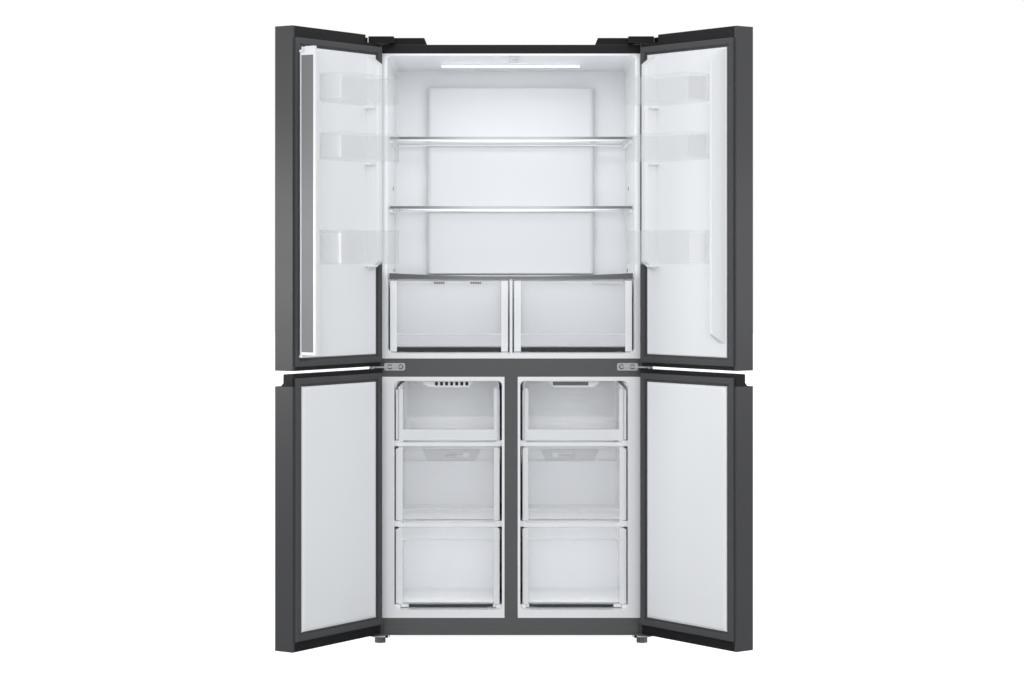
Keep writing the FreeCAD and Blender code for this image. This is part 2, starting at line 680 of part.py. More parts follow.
def air_duct_cover():
    """The hollow panel on the back wall, with outlet slots down both of its sides."""
    half = DUCT_WIDTH / 2
    panel = block((-half, half), (DUCT_FRONT, FRIDGE_DEPTH), (DUCT_BOTTOM, DUCT_TOP))
    panel = rounded(panel, DUCT_ROUND, ALONG_Z, lambda middle: middle.y < FRIDGE_DEPTH - CUT)
    wall = DUCT_WALL
    hollow = block(
        (-half + wall, half - wall),
        (DUCT_FRONT + wall, FRIDGE_DEPTH + CUT),
        (DUCT_BOTTOM + wall, DUCT_TOP - wall),
    )
    hollow = rounded(hollow, DUCT_ROUND - wall, ALONG_Z, lambda middle: middle.y < FRIDGE_DEPTH - CUT)
    slots = []
    pitch = (DUCT_TOP - DUCT_BOTTOM) / (DUCT_SLOT_COUNT + 1)
    for count in range(DUCT_SLOT_COUNT):
        middle = DUCT_BOTTOM + pitch * (count + 1)
        slot = block(
            (-half - CUT, -half + wall + CUT),
            (DUCT_FRONT + DUCT_ROUND, FRIDGE_DEPTH - wall),
            (middle - DUCT_SLOT_LENGTH / 2, middle + DUCT_SLOT_LENGTH / 2),
        )
        slots += both_sides(slot)
    return panel.cut([hollow] + slots)


def ceiling_light():
    """The long lens of the lamp in the fridge ceiling."""
    half = LIGHT_LENGTH / 2
    lens = block(
        (-half, half),
        (LIGHT_SETBACK, LIGHT_SETBACK + LIGHT_WIDTH),
        (FRIDGE_CEILING - LIGHT_DEPTH, FRIDGE_CEILING),
    )
    lower = FRIDGE_CEILING - LIGHT_DEPTH + TOUCH
    return rounded(lens, LIGHT_DEPTH / 2, ALONG_X, lambda middle: middle.z < lower)


def shelf_pane(front, top):
    """One pane of glass, held all round by its frame."""
    half = FRIDGE_HALF - SHELF_SIDE_GAP - SHELF_FRAME_BITE
    high = top - SHELF_LIP
    return block(
        (-half, half),
        (front + SHELF_FRAME_BITE, SHELF_BACK - SHELF_FRAME_BITE),
        (high - GLASS, high),
    )


def bowed_segment(half, front, depth, base, rise):
    """A bar with one straight edge and one edge bowed by rise."""
    start = Vector(-half, front, base)
    end = Vector(half, front, base)
    arc = Part.Arc(start, Vector(0, front, base + rise), end).toShape()
    chord = Part.LineSegment(end, start).toShape()
    return Part.Face(Part.Wire([arc, chord])).extrude(Vector(0, depth, 0))


def shelf_frame(front, top):
    """The moulded frame round a pane, open in the middle."""
    half = FRIDGE_HALF - SHELF_SIDE_GAP
    bar = SHELF_FRAME_BAR
    low = top - SHELF_FRAME_HEIGHT
    frame = block((-half, half), (front, SHELF_BACK), (low, top))
    window = block((-half + bar, half - bar), (front + bar, SHELF_BACK - bar), (low - CUT, top + CUT))
    return frame.cut([window, shelf_pane(front, top)])


def bowed_shelf_frame(top):
    """A shelf frame whose front bar bows down towards its middle."""
    half = FRIDGE_HALF - SHELF_SIDE_GAP
    apron = bowed_segment(half, SHELF_FRONT, SHELF_FRAME_BITE, top - SHELF_FRAME_HEIGHT, -SHELF_BOW)
    return joined(shelf_frame(SHELF_FRONT, top), apron)


def crisper_cover_frame():
    """The frame over the crispers, its front bar hollowed along the top."""
    half = FRIDGE_HALF - SHELF_SIDE_GAP
    front = CRISPER_COVER_FRONT
    top = CRISPER_COVER_TOP
    crest = top + CRISPER_COVER_BAR_RISE
    bar = block((-half, half), (front, front + SHELF_FRAME_BITE), (top - SHELF_LIP, crest))
    hollow = bowed_segment(half, front, SHELF_FRAME_BITE, crest, -CRISPER_COVER_BAR_RISE)
    return joined(shelf_frame(front, top), bar.cut(hollow))


def crisper_divider():
    """The upright wall between the crispers, standing on the floor under the cover."""
    return block(
        (-CRISPER_DIVIDER / 2, CRISPER_DIVIDER / 2),
        (CRISPER_FRONT, CRISPER_BACK),
        (FRIDGE_FLOOR, CRISPER_COVER_TOP - SHELF_FRAME_HEIGHT),
    )


def drawer_pull(x, front, deep, window, lip_top):
    """What is cut from a drawer's front: a sunk window, and a pocket behind a lip when it has one."""
    cuts = [block(x, (front - CUT, front + deep), window)]
    if lip_top is not None:
        cuts.append(block(x, (front + DRAWER_LIP, front + deep), (lip_top + DRAWER_LIP, window[0] + CUT)))
    return cuts


def crisper():
    """The left crisper: a clear drawer whose front has a sunk window over a pull along its bottom."""
    top = CRISPER_BOTTOM + CRISPER_HEIGHT
    inset = CRISPER_BODY_INSET
    wall = CRISPER_WALL
    face = block(
        (CRISPER_LEFT, CRISPER_RIGHT),
        (CRISPER_FRONT, CRISPER_FRONT + CRISPER_FRONT_WALL),
        (CRISPER_BOTTOM, top),
    )
    face = rounded(face, wall, ALONG_X, lambda middle: middle.y < CRISPER_FRONT + TOUCH)
    left = CRISPER_LEFT + inset
    right = CRISPER_RIGHT - inset
    body = block((left, right), (CRISPER_FRONT + inset, CRISPER_BACK), (CRISPER_BOTTOM, top - inset))
    body = rounded(body, DRAWER_ROUND, ALONG_Z, lambda middle: middle.y > CRISPER_BACK - CUT)
    hollow = block(
        (left + wall, right - wall),
        (CRISPER_FRONT + CRISPER_FRONT_WALL, CRISPER_BACK - wall),
        (CRISPER_BOTTOM + wall, top + CUT),
    )
    hollow = rounded(hollow, DRAWER_ROUND - wall, ALONG_Z)
    pull = drawer_pull(
        (CRISPER_LEFT + CRISPER_FRAME, CRISPER_RIGHT - CRISPER_FRAME),
        CRISPER_FRONT,
        CRISPER_FRONT_WALL - wall,
        (CRISPER_BOTTOM + CRISPER_PULL, top - CRISPER_TOP_BAR),
        CRISPER_BOTTOM,
    )
    return joined(face, body).cut([hollow] + pull)


# Freezer

def drawer_tub(floor, height, back, front_wall):
    """A left freezer drawer as a plain open tub with a thick front."""
    top = floor + height
    wall = DRAWER_WALL
    tub = block((DRAWER_LEFT, DRAWER_RIGHT), (DRAWER_FRONT, back), (floor, top))
    tub = rounded(tub, DRAWER_ROUND, ALONG_Z)
    hollow = block(
        (DRAWER_LEFT + wall, DRAWER_RIGHT - wall),
        (DRAWER_FRONT + front_wall, back - wall),
        (floor + wall, top + CUT),
    )
    return tub.cut(rounded(hollow, DRAWER_ROUND - wall, ALONG_Z))


def window_across():
    """The width of the sunk window in a left freezer drawer's front."""
    return (DRAWER_LEFT + DRAWER_FRAME, DRAWER_RIGHT - DRAWER_FRAME)


def middle_drawer():
    """The middle left drawer, with its pull along the bottom and a low back under the air outlet."""
    floor = MIDDLE_DRAWER_FLOOR
    top = floor + MIDDLE_DRAWER_HEIGHT
    deep = DRAWER_FRONT_WALL - DRAWER_WALL
    window = (floor + DRAWER_PULL, top - DRAWER_EDGE_BAR)
    pull = drawer_pull(window_across(), DRAWER_FRONT, deep, window, floor)
    back = block(
        (DRAWER_LEFT - CUT, DRAWER_RIGHT + CUT),
        (LONG_DRAWER_BACK - DRAWER_ROUND, LONG_DRAWER_BACK + CUT),
        (top - DRAWER_BACK_DROP, top + CUT),
    )
    tub = drawer_tub(floor, MIDDLE_DRAWER_HEIGHT, LONG_DRAWER_BACK, DRAWER_FRONT_WALL)
    return tub.cut(pull + [back])


def bottom_drawer():
    """The bottom left drawer, shorter because of the machine room, with its pull along the top."""
    floor = BOTTOM_DRAWER_FLOOR
    deep = DRAWER_FRONT_WALL - DRAWER_WALL
    window = (floor + DRAWER_EDGE_BAR, floor + BOTTOM_DRAWER_HEIGHT - DRAWER_PULL)
    pull = drawer_pull(window_across(), DRAWER_FRONT, deep, window, None)
    return drawer_tub(floor, BOTTOM_DRAWER_HEIGHT, SHORT_DRAWER_BACK, DRAWER_FRONT_WALL).cut(pull)


def top_drawer():
    """The top left tray, with a low lip in place of a front."""
    top = TOP_DRAWER_FLOOR + TOP_DRAWER_HEIGHT
    mouth = block(
        window_across(),
        (DRAWER_FRONT - CUT, DRAWER_FRONT + TRAY_FRONT_WALL + DRAWER_ROUND),
        (TOP_DRAWER_FLOOR + TOP_DRAWER_LIP, top + CUT),
    )
    return drawer_tub(TOP_DRAWER_FLOOR, TOP_DRAWER_HEIGHT, LONG_DRAWER_BACK, TRAY_FRONT_WALL).cut(mouth)


def rear_duct():
    """The cover in front of the back wall of the left freezer room, with an air outlet."""
    left = -FREEZER_OUTER + REAR_DUCT_SIDE_GAP
    right = -FREEZER_INNER - REAR_DUCT_SIDE_GAP
    low = FREEZER_STEP_TOP
    high = FREEZER_CEILING - REAR_DUCT_TOP_GAP
    sheet = block((left, right), (REAR_DUCT_FRONT, REAR_DUCT_BACK), (low, high))
    feet = []
    for x in ((left, left + REAR_DUCT_FOOT), (right - REAR_DUCT_FOOT, right)):
        feet.append(block(x, (REAR_DUCT_BACK, FREEZER_DEPTH), (low, high)))
    middle = (left + right) / 2
    half = REAR_OUTLET_FRAME_WIDTH / 2
    frame_top = TOP_RIB_TOP - REAR_OUTLET_FRAME_DROP
    frame_low = frame_top - REAR_OUTLET_FRAME_HEIGHT
    slant = REAR_OUTLET_FRAME_SLANT
    frame = prism(
        [
            Vector(middle - half, REAR_DUCT_BACK, frame_top),
            Vector(middle + half, REAR_DUCT_BACK, frame_top),
            Vector(middle + half - slant, REAR_DUCT_BACK, frame_low),
            Vector(middle - half + slant, REAR_DUCT_BACK, frame_low),
        ],
        Vector(0, -REAR_DUCT_SHEET - REAR_OUTLET_FRAME_DEPTH, 0),
    )
    outlet_low = (frame_top + frame_low - REAR_OUTLET_HEIGHT) / 2
    outlet = block(
        (middle - REAR_OUTLET_WIDTH / 2, middle + REAR_OUTLET_WIDTH / 2),
        (REAR_DUCT_FRONT - REAR_OUTLET_FRAME_DEPTH - CUT, REAR_DUCT_BACK + CUT),
        (outlet_low, outlet_low + REAR_OUTLET_HEIGHT),
    )
    return joined(sheet, frame, *feet).cut(outlet)


def ceiling_duct():
    """The air outlet under the ceiling of the left freezer room, with a row of slits in its front."""
    half = CEILING_DUCT_WIDTH / 2
    high = FREEZER_CEILING
    low = high - CEILING_DUCT_HEIGHT
    outline = [
        Vector(-FREEZER_MIDDLE - half, CEILING_DUCT_SETBACK, high),
        Vector(-FREEZER_MIDDLE + half, CEILING_DUCT_SETBACK, high),
        Vector(-FREEZER_MIDDLE + half - CEILING_DUCT_HEIGHT, CEILING_DUCT_SETBACK, low),
        Vector(-FREEZER_MIDDLE - half + CEILING_DUCT_HEIGHT, CEILING_DUCT_SETBACK, low),
    ]
    duct = prism(outline, Vector(0, CEILING_DUCT_DEPTH, 0))
    middle = -FREEZER_MIDDLE + CEILING_SLIT_OFFSET
    slit_low = (high + low - CEILING_SLIT_HEIGHT) / 2
    slits = []
    for count in range(CEILING_SLITS):
        start = middle + CEILING_SLIT_PITCH * (count - (CEILING_SLITS - 1) / 2) - CEILING_SLIT_WIDTH / 2
        slit = block(
            (start, start + CEILING_SLIT_WIDTH),
            (CEILING_DUCT_SETBACK - CUT, CEILING_DUCT_SETBACK + CEILING_SLIT_DEPTH),
            (slit_low, slit_low + CEILING_SLIT_HEIGHT),
        )
        slits.append(slit)
    return duct.cut(slits)


def tube(start, length):
    """One straight run of a coil's tube along X, with flat sides."""
    points = []
    for count in range(TUBE_SIDES):
        turn = 2 * math.pi * (count + 0.5) / TUBE_SIDES
        points.append(start + Vector(0, TUBE_RADIUS * math.cos(turn), TUBE_RADIUS * math.sin(turn)))
    return prism(points, Vector(length, 0, 0))


def finned_coil(length, pitch_axis, corner, size, fins):
    """Straight tubes through a row of thin fins, from one corner of the coil along X."""
    gap = (length - FIN_SHEET) / (fins - 1)
    sheets = []
    for count in range(fins):
        start = corner + Vector(gap * count, 0, 0)
        sheets.append(Part.makeBox(FIN_SHEET, size[0], size[1], start))
    across = size[0] / 2 - TUBE_RADIUS - FIN_SHEET
    tubes = []
    for row in range(int(size[1] // pitch_axis)):
        for side in (-1, 1):
            start = corner + Vector(0, size[0] / 2 + side * across / 2, pitch_axis * (row + 0.5))
            tubes.append(tube(start, length))
    return joined(tubes[0], *tubes[1:], *sheets)


def evaporator():
    """The finned cooling coil behind the left freezer cover, standing on the liner's step."""
    corner = Vector(
        -FREEZER_MIDDLE - EVAPORATOR_WIDTH / 2,
        FREEZER_DEPTH - EVAPORATOR_DEPTH,
        FREEZER_STEP_TOP,
    )
    section = (EVAPORATOR_DEPTH, EVAPORATOR_HEIGHT)
    return finned_coil(EVAPORATOR_WIDTH, TUBE_PITCH, corner, section, EVAPORATOR_FINS)


def fan(radius, hub, axis):
    """A bladed wheel on a short shaft; hub is the middle of its back and axis points to its front."""
    wheel = Part.makeCylinder(FAN_HUB_RADIUS, FAN_DEPTH, Vector(0, 0, 0), ALONG_Z)
    blades = []
    for count in range(FAN_BLADES):
        blade = Part.makeBox(radius - FAN_HUB_RADIUS / 2, FAN_BLADE_SHEET, FAN_DEPTH)
        blade.translate(Vector(FAN_HUB_RADIUS / 2, -FAN_BLADE_SHEET / 2, -FAN_DEPTH / 2))
        blade.rotate(Vector(0, 0, 0), ALONG_X, FAN_BLADE_PITCH)
        blade.translate(Vector(0, 0, FAN_DEPTH / 2))
        blade.rotate(Vector(0, 0, 0), ALONG_Z, 360.0 / FAN_BLADES * count)
        blades.append(blade)
    shaft_back = -FAN_MOTOR_GAP - FAN_MOTOR_LENGTH / 2
    shaft = rod(FAN_SHAFT_RADIUS, Vector(0, 0, shaft_back), Vector(0, 0, FAN_DEPTH / 2))
    trim = Part.makeCylinder(radius, FAN_DEPTH, Vector(0, 0, 0), ALONG_Z)
    shape = joined(wheel, *[blade.common(trim) for blade in blades], shaft)
    shape.Placement = FreeCAD.Placement(hub, FreeCAD.Rotation(ALONG_Z, axis))
    return shape


def fan_motor(hub, axis):
    """The round motor behind a fan, with a bore for the shaft."""
    bore_radius = FAN_SHAFT_RADIUS + RUNNING_CLEARANCE
    start = Vector(0, 0, -FAN_MOTOR_GAP)
    back = Vector(0, 0, -FAN_MOTOR_GAP - FAN_MOTOR_LENGTH)
    bore = rod(bore_radius, back + Vector(0, 0, FAN_MOTOR_LENGTH / 4), start + Vector(0, 0, CUT))
    shape = rod(FAN_MOTOR_RADIUS, back, start).cut(bore)
    shape.Placement = FreeCAD.Placement(hub, FreeCAD.Rotation(ALONG_Z, axis))
    return shape


FREEZER_FAN_HUB = Vector(
    -FREEZER_MIDDLE,
    FREEZER_DEPTH - FAN_MOTOR_LENGTH - FAN_MOTOR_GAP,
    FREEZER_STEP_TOP + EVAPORATOR_HEIGHT + FREEZER_FAN_RADIUS + FAN_CLEARANCE,
)
FREEZER_FAN_AXIS = Vector(0, -1, 0)
CONDENSER_FAN_HUB = Vector(
    -CONDENSER_FROM_CENTRE + FAN_CLEARANCE,
    MACHINE_ROOM_MIDDLE,
    MACHINE_ROOM_FLOOR + CONDENSER_FAN_RADIUS + 2 * FAN_CLEARANCE,
)
CONDENSER_FAN_AXIS = Vector(-1, 0, 0)


def fan_motors():
    """The two motors: one on the freezer's back wall, one on a bracket in the machine room."""
    freezer_motor = fan_motor(FREEZER_FAN_HUB, FREEZER_FAN_AXIS)
    motor = fan_motor(CONDENSER_FAN_HUB, CONDENSER_FAN_AXIS)
    back = CONDENSER_FAN_HUB.x + FAN_MOTOR_GAP + FAN_MOTOR_LENGTH
    bracket = block(
        (back, back + FAN_BLADE_SHEET),
        (CONDENSER_FAN_HUB.y - FAN_MOTOR_RADIUS, CONDENSER_FAN_HUB.y + FAN_MOTOR_RADIUS),
        (MACHINE_ROOM_FLOOR, CONDENSER_FAN_HUB.z + FAN_MOTOR_RADIUS),
    )
    return [freezer_motor, joined(motor, bracket)]


# Machine room

def compressor():
    """The welded can with domed ends and a seam, on a foot plate."""
    radius = COMPRESSOR_RADIUS
    base = MACHINE_ROOM_FLOOR + COMPRESSOR_FOOT
    axis = Vector(COMPRESSOR_FROM_CENTRE, MACHINE_ROOM_MIDDLE, base)
    dome = COMPRESSOR_DOME
    profile = [axis]
    for count in range(COMPRESSOR_DOME_STEPS + 1):
        turn = math.pi / 2 * count / COMPRESSOR_DOME_STEPS
        reach = radius - dome + dome * math.sin(turn)
        profile.append(axis + Vector(reach, 0, dome - dome * math.cos(turn)))
    for point in profile[:0:-1]:
        profile.append(Vector(point.x, point.y, 2 * axis.z + COMPRESSOR_HEIGHT - point.z))
    profile.append(axis + Vector(0, 0, COMPRESSOR_HEIGHT))
    can = Part.Face(Part.makePolygon(profile + [axis])).revolve(axis, ALONG_Z, 360)
    middle = axis + Vector(0, 0, COMPRESSOR_HEIGHT / 2 - COMPRESSOR_SEAM / 2)
    seam = Part.makeCylinder(radius + COMPRESSOR_SEAM, COMPRESSOR_SEAM, middle, ALONG_Z)
    reach = radius + COMPRESSOR_FOOT_REACH
    foot_low = base - COMPRESSOR_FOOT_SHEET
    plate = block((axis.x - reach, axis.x + reach), (axis.y - reach, axis.y + reach), (foot_low, base))
    plate = rounded(plate, COMPRESSOR_FOOT_REACH, ALONG_Z)
    feet = []
    corner = reach - COMPRESSOR_FOOT_REACH
    for x in (-corner, corner):
        for y in (-corner, corner):
            top = Vector(axis.x + x, axis.y + y, base)
            bottom = Vector(top.x, top.y, MACHINE_ROOM_FLOOR)
            feet.append(rod(COMPRESSOR_FOOT_REACH / 2, bottom, top))
    boss = Part.makeCylinder(radius / 2, COMPRESSOR_DOME, axis, ALONG_Z)
    return joined(can, seam, plate, boss, *feet)


CONDENSER_RIGHT = -CONDENSER_FROM_CENTRE - FAN_DEPTH - FAN_CLEARANCE
CONDENSER_LEFT = CONDENSER_RIGHT - CONDENSER_LENGTH
CONDENSER_BOTTOM = MACHINE_ROOM_FLOOR + DRIP_TRAY_WALL


def condenser():
    """The finned coil that gives off the heat, standing in the drip tray."""
    corner = Vector(CONDENSER_LEFT, MACHINE_ROOM_MIDDLE - CONDENSER_DEPTH / 2, CONDENSER_BOTTOM)
    section = (CONDENSER_DEPTH, CONDENSER_HEIGHT)
    return finned_coil(CONDENSER_LENGTH, TUBE_PITCH, corner, section, CONDENSER_FINS)


def drip_tray():
    """The open tray under the condenser, where defrost water dries off."""
    margin = DRIP_TRAY_MARGIN
    half = CONDENSER_DEPTH / 2 + margin
    wall = DRIP_TRAY_WALL
    left = CONDENSER_LEFT - margin
    right = CONDENSER_RIGHT + FAN_CLEARANCE / 2
    y = (MACHINE_ROOM_MIDDLE - half, MACHINE_ROOM_MIDDLE + half)
    high = MACHINE_ROOM_FLOOR + DRIP_TRAY_HEIGHT
    tray = block((left, right), y, (MACHINE_ROOM_FLOOR, high))
    hollow = block((left + wall, right - wall), (y[0] + wall, y[1] - wall), (CONDENSER_BOTTOM, high + CUT))
    return tray.cut(hollow)


def machine_room_cover():
    """The rear cover with rows of air slots."""
    half = INNER_HALF - COVER_SIDE_GAP
    low = MACHINE_ROOM_FLOOR
    y = (CABINET_DEPTH - COVER_SHEET, CABINET_DEPTH)
    sheet = block((-half, half), y, (CABINET_BOTTOM, MACHINE_ROOM_TOP))
    slots = []
    rows = int((MACHINE_ROOM_TOP - low - 2 * COVER_SLOT_MARGIN) // COVER_SLOT_PITCH) + 1
    columns = int(half // (COVER_SLOT_LENGTH + COVER_SLOT_PITCH))
    for row in range(rows):
        z = low + COVER_SLOT_MARGIN + COVER_SLOT_PITCH * row
        for column in range(columns):
            x = COVER_SLOT_PITCH + column * (COVER_SLOT_LENGTH + COVER_SLOT_PITCH)
            slot = block(
                (x, x + COVER_SLOT_LENGTH),
                (CABINET_DEPTH - COVER_SHEET - CUT, CABINET_DEPTH + CUT),
                (z, z + COVER_SLOT_HEIGHT),
            )
            slots += both_sides(slot)
    return sheet.cut(slots)


# Doors, all built as left-hand doors in the closed position

def door_block(offset, z):
    """The door's outer form, or the form inside its sheet, with rounded front edges."""
    x = (DOOR_HINGE_EDGE + offset, DOOR_FREE_EDGE - offset)
    front = DOOR_FRONT + offset
    form = block(x, (front, DOOR_BACK - offset), z)
    return rounded(form, DOOR_RADIUS - offset, ALONG_Z, lambda middle: middle.y < front + CUT)


def door_filling(z):
    """What fills the skin and comes flush with the edges folded in behind it."""
    web = block(
        (DOOR_HINGE_EDGE + DOOR_RETURN, DOOR_FREE_EDGE - DOOR_RETURN),
        (DOOR_BACK - DOOR_THICKNESS / 2, DOOR_BACK),
        z,
    )
    return joined(door_block(DOOR_SHEET, z), web)


def hinge_notch():
    """The corner cut out of an upper door's top for the hinge and its cover."""
    return block(
        (DOOR_HINGE_EDGE - CUT, DOOR_HINGE_EDGE + NOTCH_WIDTH),
        (DOOR_BACK - NOTCH_DEPTH, DOOR_BACK + CUT),
        (NOTCH_FLOOR, UPPER_DOOR_TOP + CUT),
    )


def pin_hole(z):
    """The bore on the door's pivot that a hinge pin runs in."""
    radius = PIN_RADIUS + RUNNING_CLEARANCE
    return rod(radius, Vector(PIVOT_X, PIVOT_Y, z[0]), Vector(PIVOT_X, PIVOT_Y, z[1]))


def door_skin(z):
    """The folded sheet: front, both sides and the narrow returns behind."""
    opening = block(
        (DOOR_HINGE_EDGE + DOOR_RETURN, DOOR_FREE_EDGE - DOOR_RETURN),
        (DOOR_BACK - DOOR_SHEET - CUT, DOOR_BACK + CUT),
        (z[0] - CUT, z[1] + CUT),
    )
    return door_block(0, z).cut([door_block(DOOR_SHEET, (z[0] - CUT, z[1] + CUT)), opening])


def upper_skin():
    """An upper door's skin, notched for the top hinge."""
    return door_skin((UPPER_DOOR_BOTTOM, UPPER_DOOR_TOP)).cut(hinge_notch())


def lower_skin():
    """A lower door's skin, which stops under the grip."""
    return door_skin((LOWER_DOOR_BOTTOM, LOWER_SKIN_TOP))


def upper_caps():
    """The top cap with its hinge notch, and the bottom cap, each with a bore for a pin."""
    top = door_filling((UPPER_DOOR_TOP - UPPER_TOP_CAP, UPPER_DOOR_TOP)).cut(hinge_notch())
    top = top.cut(pin_hole((UPPER_DOOR_TOP - UPPER_TOP_CAP, UPPER_DOOR_TOP)))
    bottom = door_filling((UPPER_DOOR_BOTTOM, UPPER_DOOR_BOTTOM + UPPER_BOTTOM_CAP))
    return [top, bottom.cut(pin_hole((UPPER_DOOR_BOTTOM, UPPER_DOOR_BOTTOM + UPPER_BOTTOM_CAP)))]


def lower_caps():
    """The top cap, which forms the grip recess, and the bottom cap."""
    x = (DOOR_HINGE_EDGE, DOOR_FREE_EDGE)
    grip = block(x, (DOOR_BACK - GRIP_DEPTH, DOOR_BACK), (LOWER_SKIN_TOP, LOWER_DOOR_TOP))
    grip_front = DOOR_BACK - GRIP_DEPTH
    brow = lambda middle: middle.z > LOWER_DOOR_TOP - TOUCH and middle.y < grip_front + TOUCH
    grip = rounded(grip, DOOR_LINER_ROUND, ALONG_X, brow)
    scoop = prism(
        [
            Vector(x[0], grip_front, LOWER_SKIN_TOP),
            Vector(x[0], grip_front - GRIP_SCOOP, LOWER_SKIN_TOP),
            Vector(x[0], grip_front, LOWER_SKIN_TOP + GRIP_SCOOP),
        ],
        Vector(x[1] - x[0], 0, 0),
    )
    plug = door_filling((LOWER_SKIN_TOP - GRIP_CAP_PLUG, LOWER_SKIN_TOP))
    top = joined(plug, grip, scoop).cut(pin_hole((LOWER_SKIN_TOP, LOWER_DOOR_TOP)))
    bottom_z = (LOWER_DOOR_BOTTOM, LOWER_DOOR_BOTTOM + LOWER_BOTTOM_CAP)
    return [top, door_filling(bottom_z).cut(pin_hole(bottom_z))]


def gasket(z):
    """The magnetic seal round the inner face: a flat skirt with a bulb along its outer edge."""
    x = (DOOR_HINGE_EDGE + GASKET_INSET, DOOR_FREE_EDGE - GASKET_INSET)
    height = DOOR_GAP - GASKET_CLEARANCE
    skirt = block(x, (DOOR_BACK, DOOR_BACK + GASKET_BASE), z)
    bulb = block(x, (DOOR_BACK, DOOR_BACK + height), z)
    inner = (x[0] + GASKET_BULB, x[1] - GASKET_BULB)
    bulb = bulb.cut(block(inner, (DOOR_BACK - CUT, CUT), (z[0] + GASKET_BULB, z[1] - GASKET_BULB)))
    crest = DOOR_BACK + height
    ridges = []
    for edge in bulb.Edges:
        if edge.CenterOfMass.y > crest - TOUCH and edge.Length > GASKET_BULB:
            ridges.append(edge)
    bulb = bulb.makeFillet(GASKET_ROUND, ridges)
    window = block(
        (x[0] + GASKET_SIDE_WIDTH, x[1] - GASKET_SIDE_WIDTH),
        (DOOR_BACK - CUT, CUT),
        (z[0] + GASKET_END_WIDTH, z[1] - GASKET_END_WIDTH),
    )
    return joined(skirt, bulb).cut(window)


def liner_panel(z):
    """The raised white field inside the gasket, with a softly rounded rim."""
    inset = GASKET_INSET + GASKET_SIDE_WIDTH + DOOR_LINER_CLEARANCE
    top = DOOR_BACK + DOOR_LINER_RISE
    panel = block(
        (DOOR_HINGE_EDGE + inset, DOOR_FREE_EDGE - inset),
        (DOOR_BACK, top),
        (z[0] + GASKET_END_WIDTH + DOOR_LINER_CLEARANCE, z[1] - GASKET_END_WIDTH - DOOR_LINER_CLEARANCE),
    )
    rim = [edge for edge in panel.Edges if edge.CenterOfMass.y > top - TOUCH]
    return panel.makeFillet(DOOR_LINER_ROUND, rim)


def dyke(x, height, z):
    """An upright ridge on the liner, sloped at both ends, that holds the bins between its fellows."""
    base = DOOR_BACK + DOOR_LINER_RISE / 2
    crest = DOOR_BACK + height
    outline = [
        Vector(x[0], base, z[0]),
        Vector(x[0], crest, z[0] + DYKE_SLOPE),
        Vector(x[0], crest, z[1] - DYKE_SLOPE),
        Vector(x[0], base, z[1]),
    ]
    return prism(outline, Vector(x[1] - x[0], 0, 0))


def hinge_dyke():
    """The ridge beside the hinges."""
    z = (UPPER_DOOR_BOTTOM + HINGE_DYKE_RISE, UPPER_DOOR_TOP - DYKE_DROP)
    crest = DOOR_BACK + HINGE_DYKE_HEIGHT
    ridge = dyke(HINGE_DYKE, HINGE_DYKE_HEIGHT, z)
    return rounded(ridge, HINGE_DYKE_ROUND, ALONG_Z, lambda middle: middle.y > crest - CUT)


def free_dyke():
    """The low ridge beside the free edge, which slopes down to that edge."""
    z = (UPPER_SEAL[0] + FREE_DYKE_RISE, UPPER_DOOR_TOP - DYKE_DROP)
    crest = DOOR_BACK + FREE_DYKE_HEIGHT
    flank = prism(
        [
            Vector(FREE_DYKE[0] + FREE_DYKE_CREST, crest, z[0]),
            Vector(FREE_DYKE[1], crest, z[0]),
            Vector(FREE_DYKE[1], DOOR_BACK + DOOR_LINER_RISE, z[0]),
        ],
        Vector(0, 0, z[1] - z[0]),
    )
    ridge = dyke(FREE_DYKE, FREE_DYKE_HEIGHT, z).cut(flank)
    return rounded(ridge, FREE_DYKE_ROUND, ALONG_Z, lambda middle: middle.y > crest - TOUCH)


def bin_ledges():
    """Small ledges on both dykes under each bin."""
    ledges = []
    base = DOOR_BACK + DOOR_LINER_RISE / 2
    hinge_y = (base, DOOR_BACK + HINGE_DYKE_HEIGHT - HINGE_DYKE_ROUND)
    free_y = (base, DOOR_BACK + FREE_DYKE_HEIGHT - FREE_DYKE_ROUND)
    for floor, height in BINS:
        z = (floor - BIN_LEDGE_HEIGHT, floor)
        hinge_x = (HINGE_DYKE[1] - HINGE_DYKE_ROUND, HINGE_DYKE[1] + BIN_LEDGE_REACH)
        ledges.append(block(hinge_x, hinge_y, z))
        free_x = (FREE_DYKE[0] - BIN_LEDGE_REACH, FREE_DYKE[0] + FREE_DYKE_ROUND)
        ledges.append(block(free_x, free_y, z))
    return ledges


UPPER_SEAL = (UPPER_DOOR_BOTTOM + UPPER_BOTTOM_CAP, UPPER_DOOR_TOP - UPPER_TOP_CAP)
LOWER_SEAL = (LOWER_DOOR_BOTTOM + LOWER_BOTTOM_CAP, LOWER_DOOR_TOP - LOWER_TOP_CAP)


def upper_liner():
    """An upper door's moulded liner with its foam, dykes and bin ledges."""
    panel = liner_panel(UPPER_SEAL)
    return joined(door_filling(UPPER_SEAL), panel, hinge_dyke(), free_dyke(), *bin_ledges())


def lower_liner():
    """A lower door's liner with its foam."""
    filling = door_filling((LOWER_SEAL[0], LOWER_SKIN_TOP - GRIP_CAP_PLUG))
    panel = liner_panel(LOWER_SEAL)
    return joined(filling, panel)


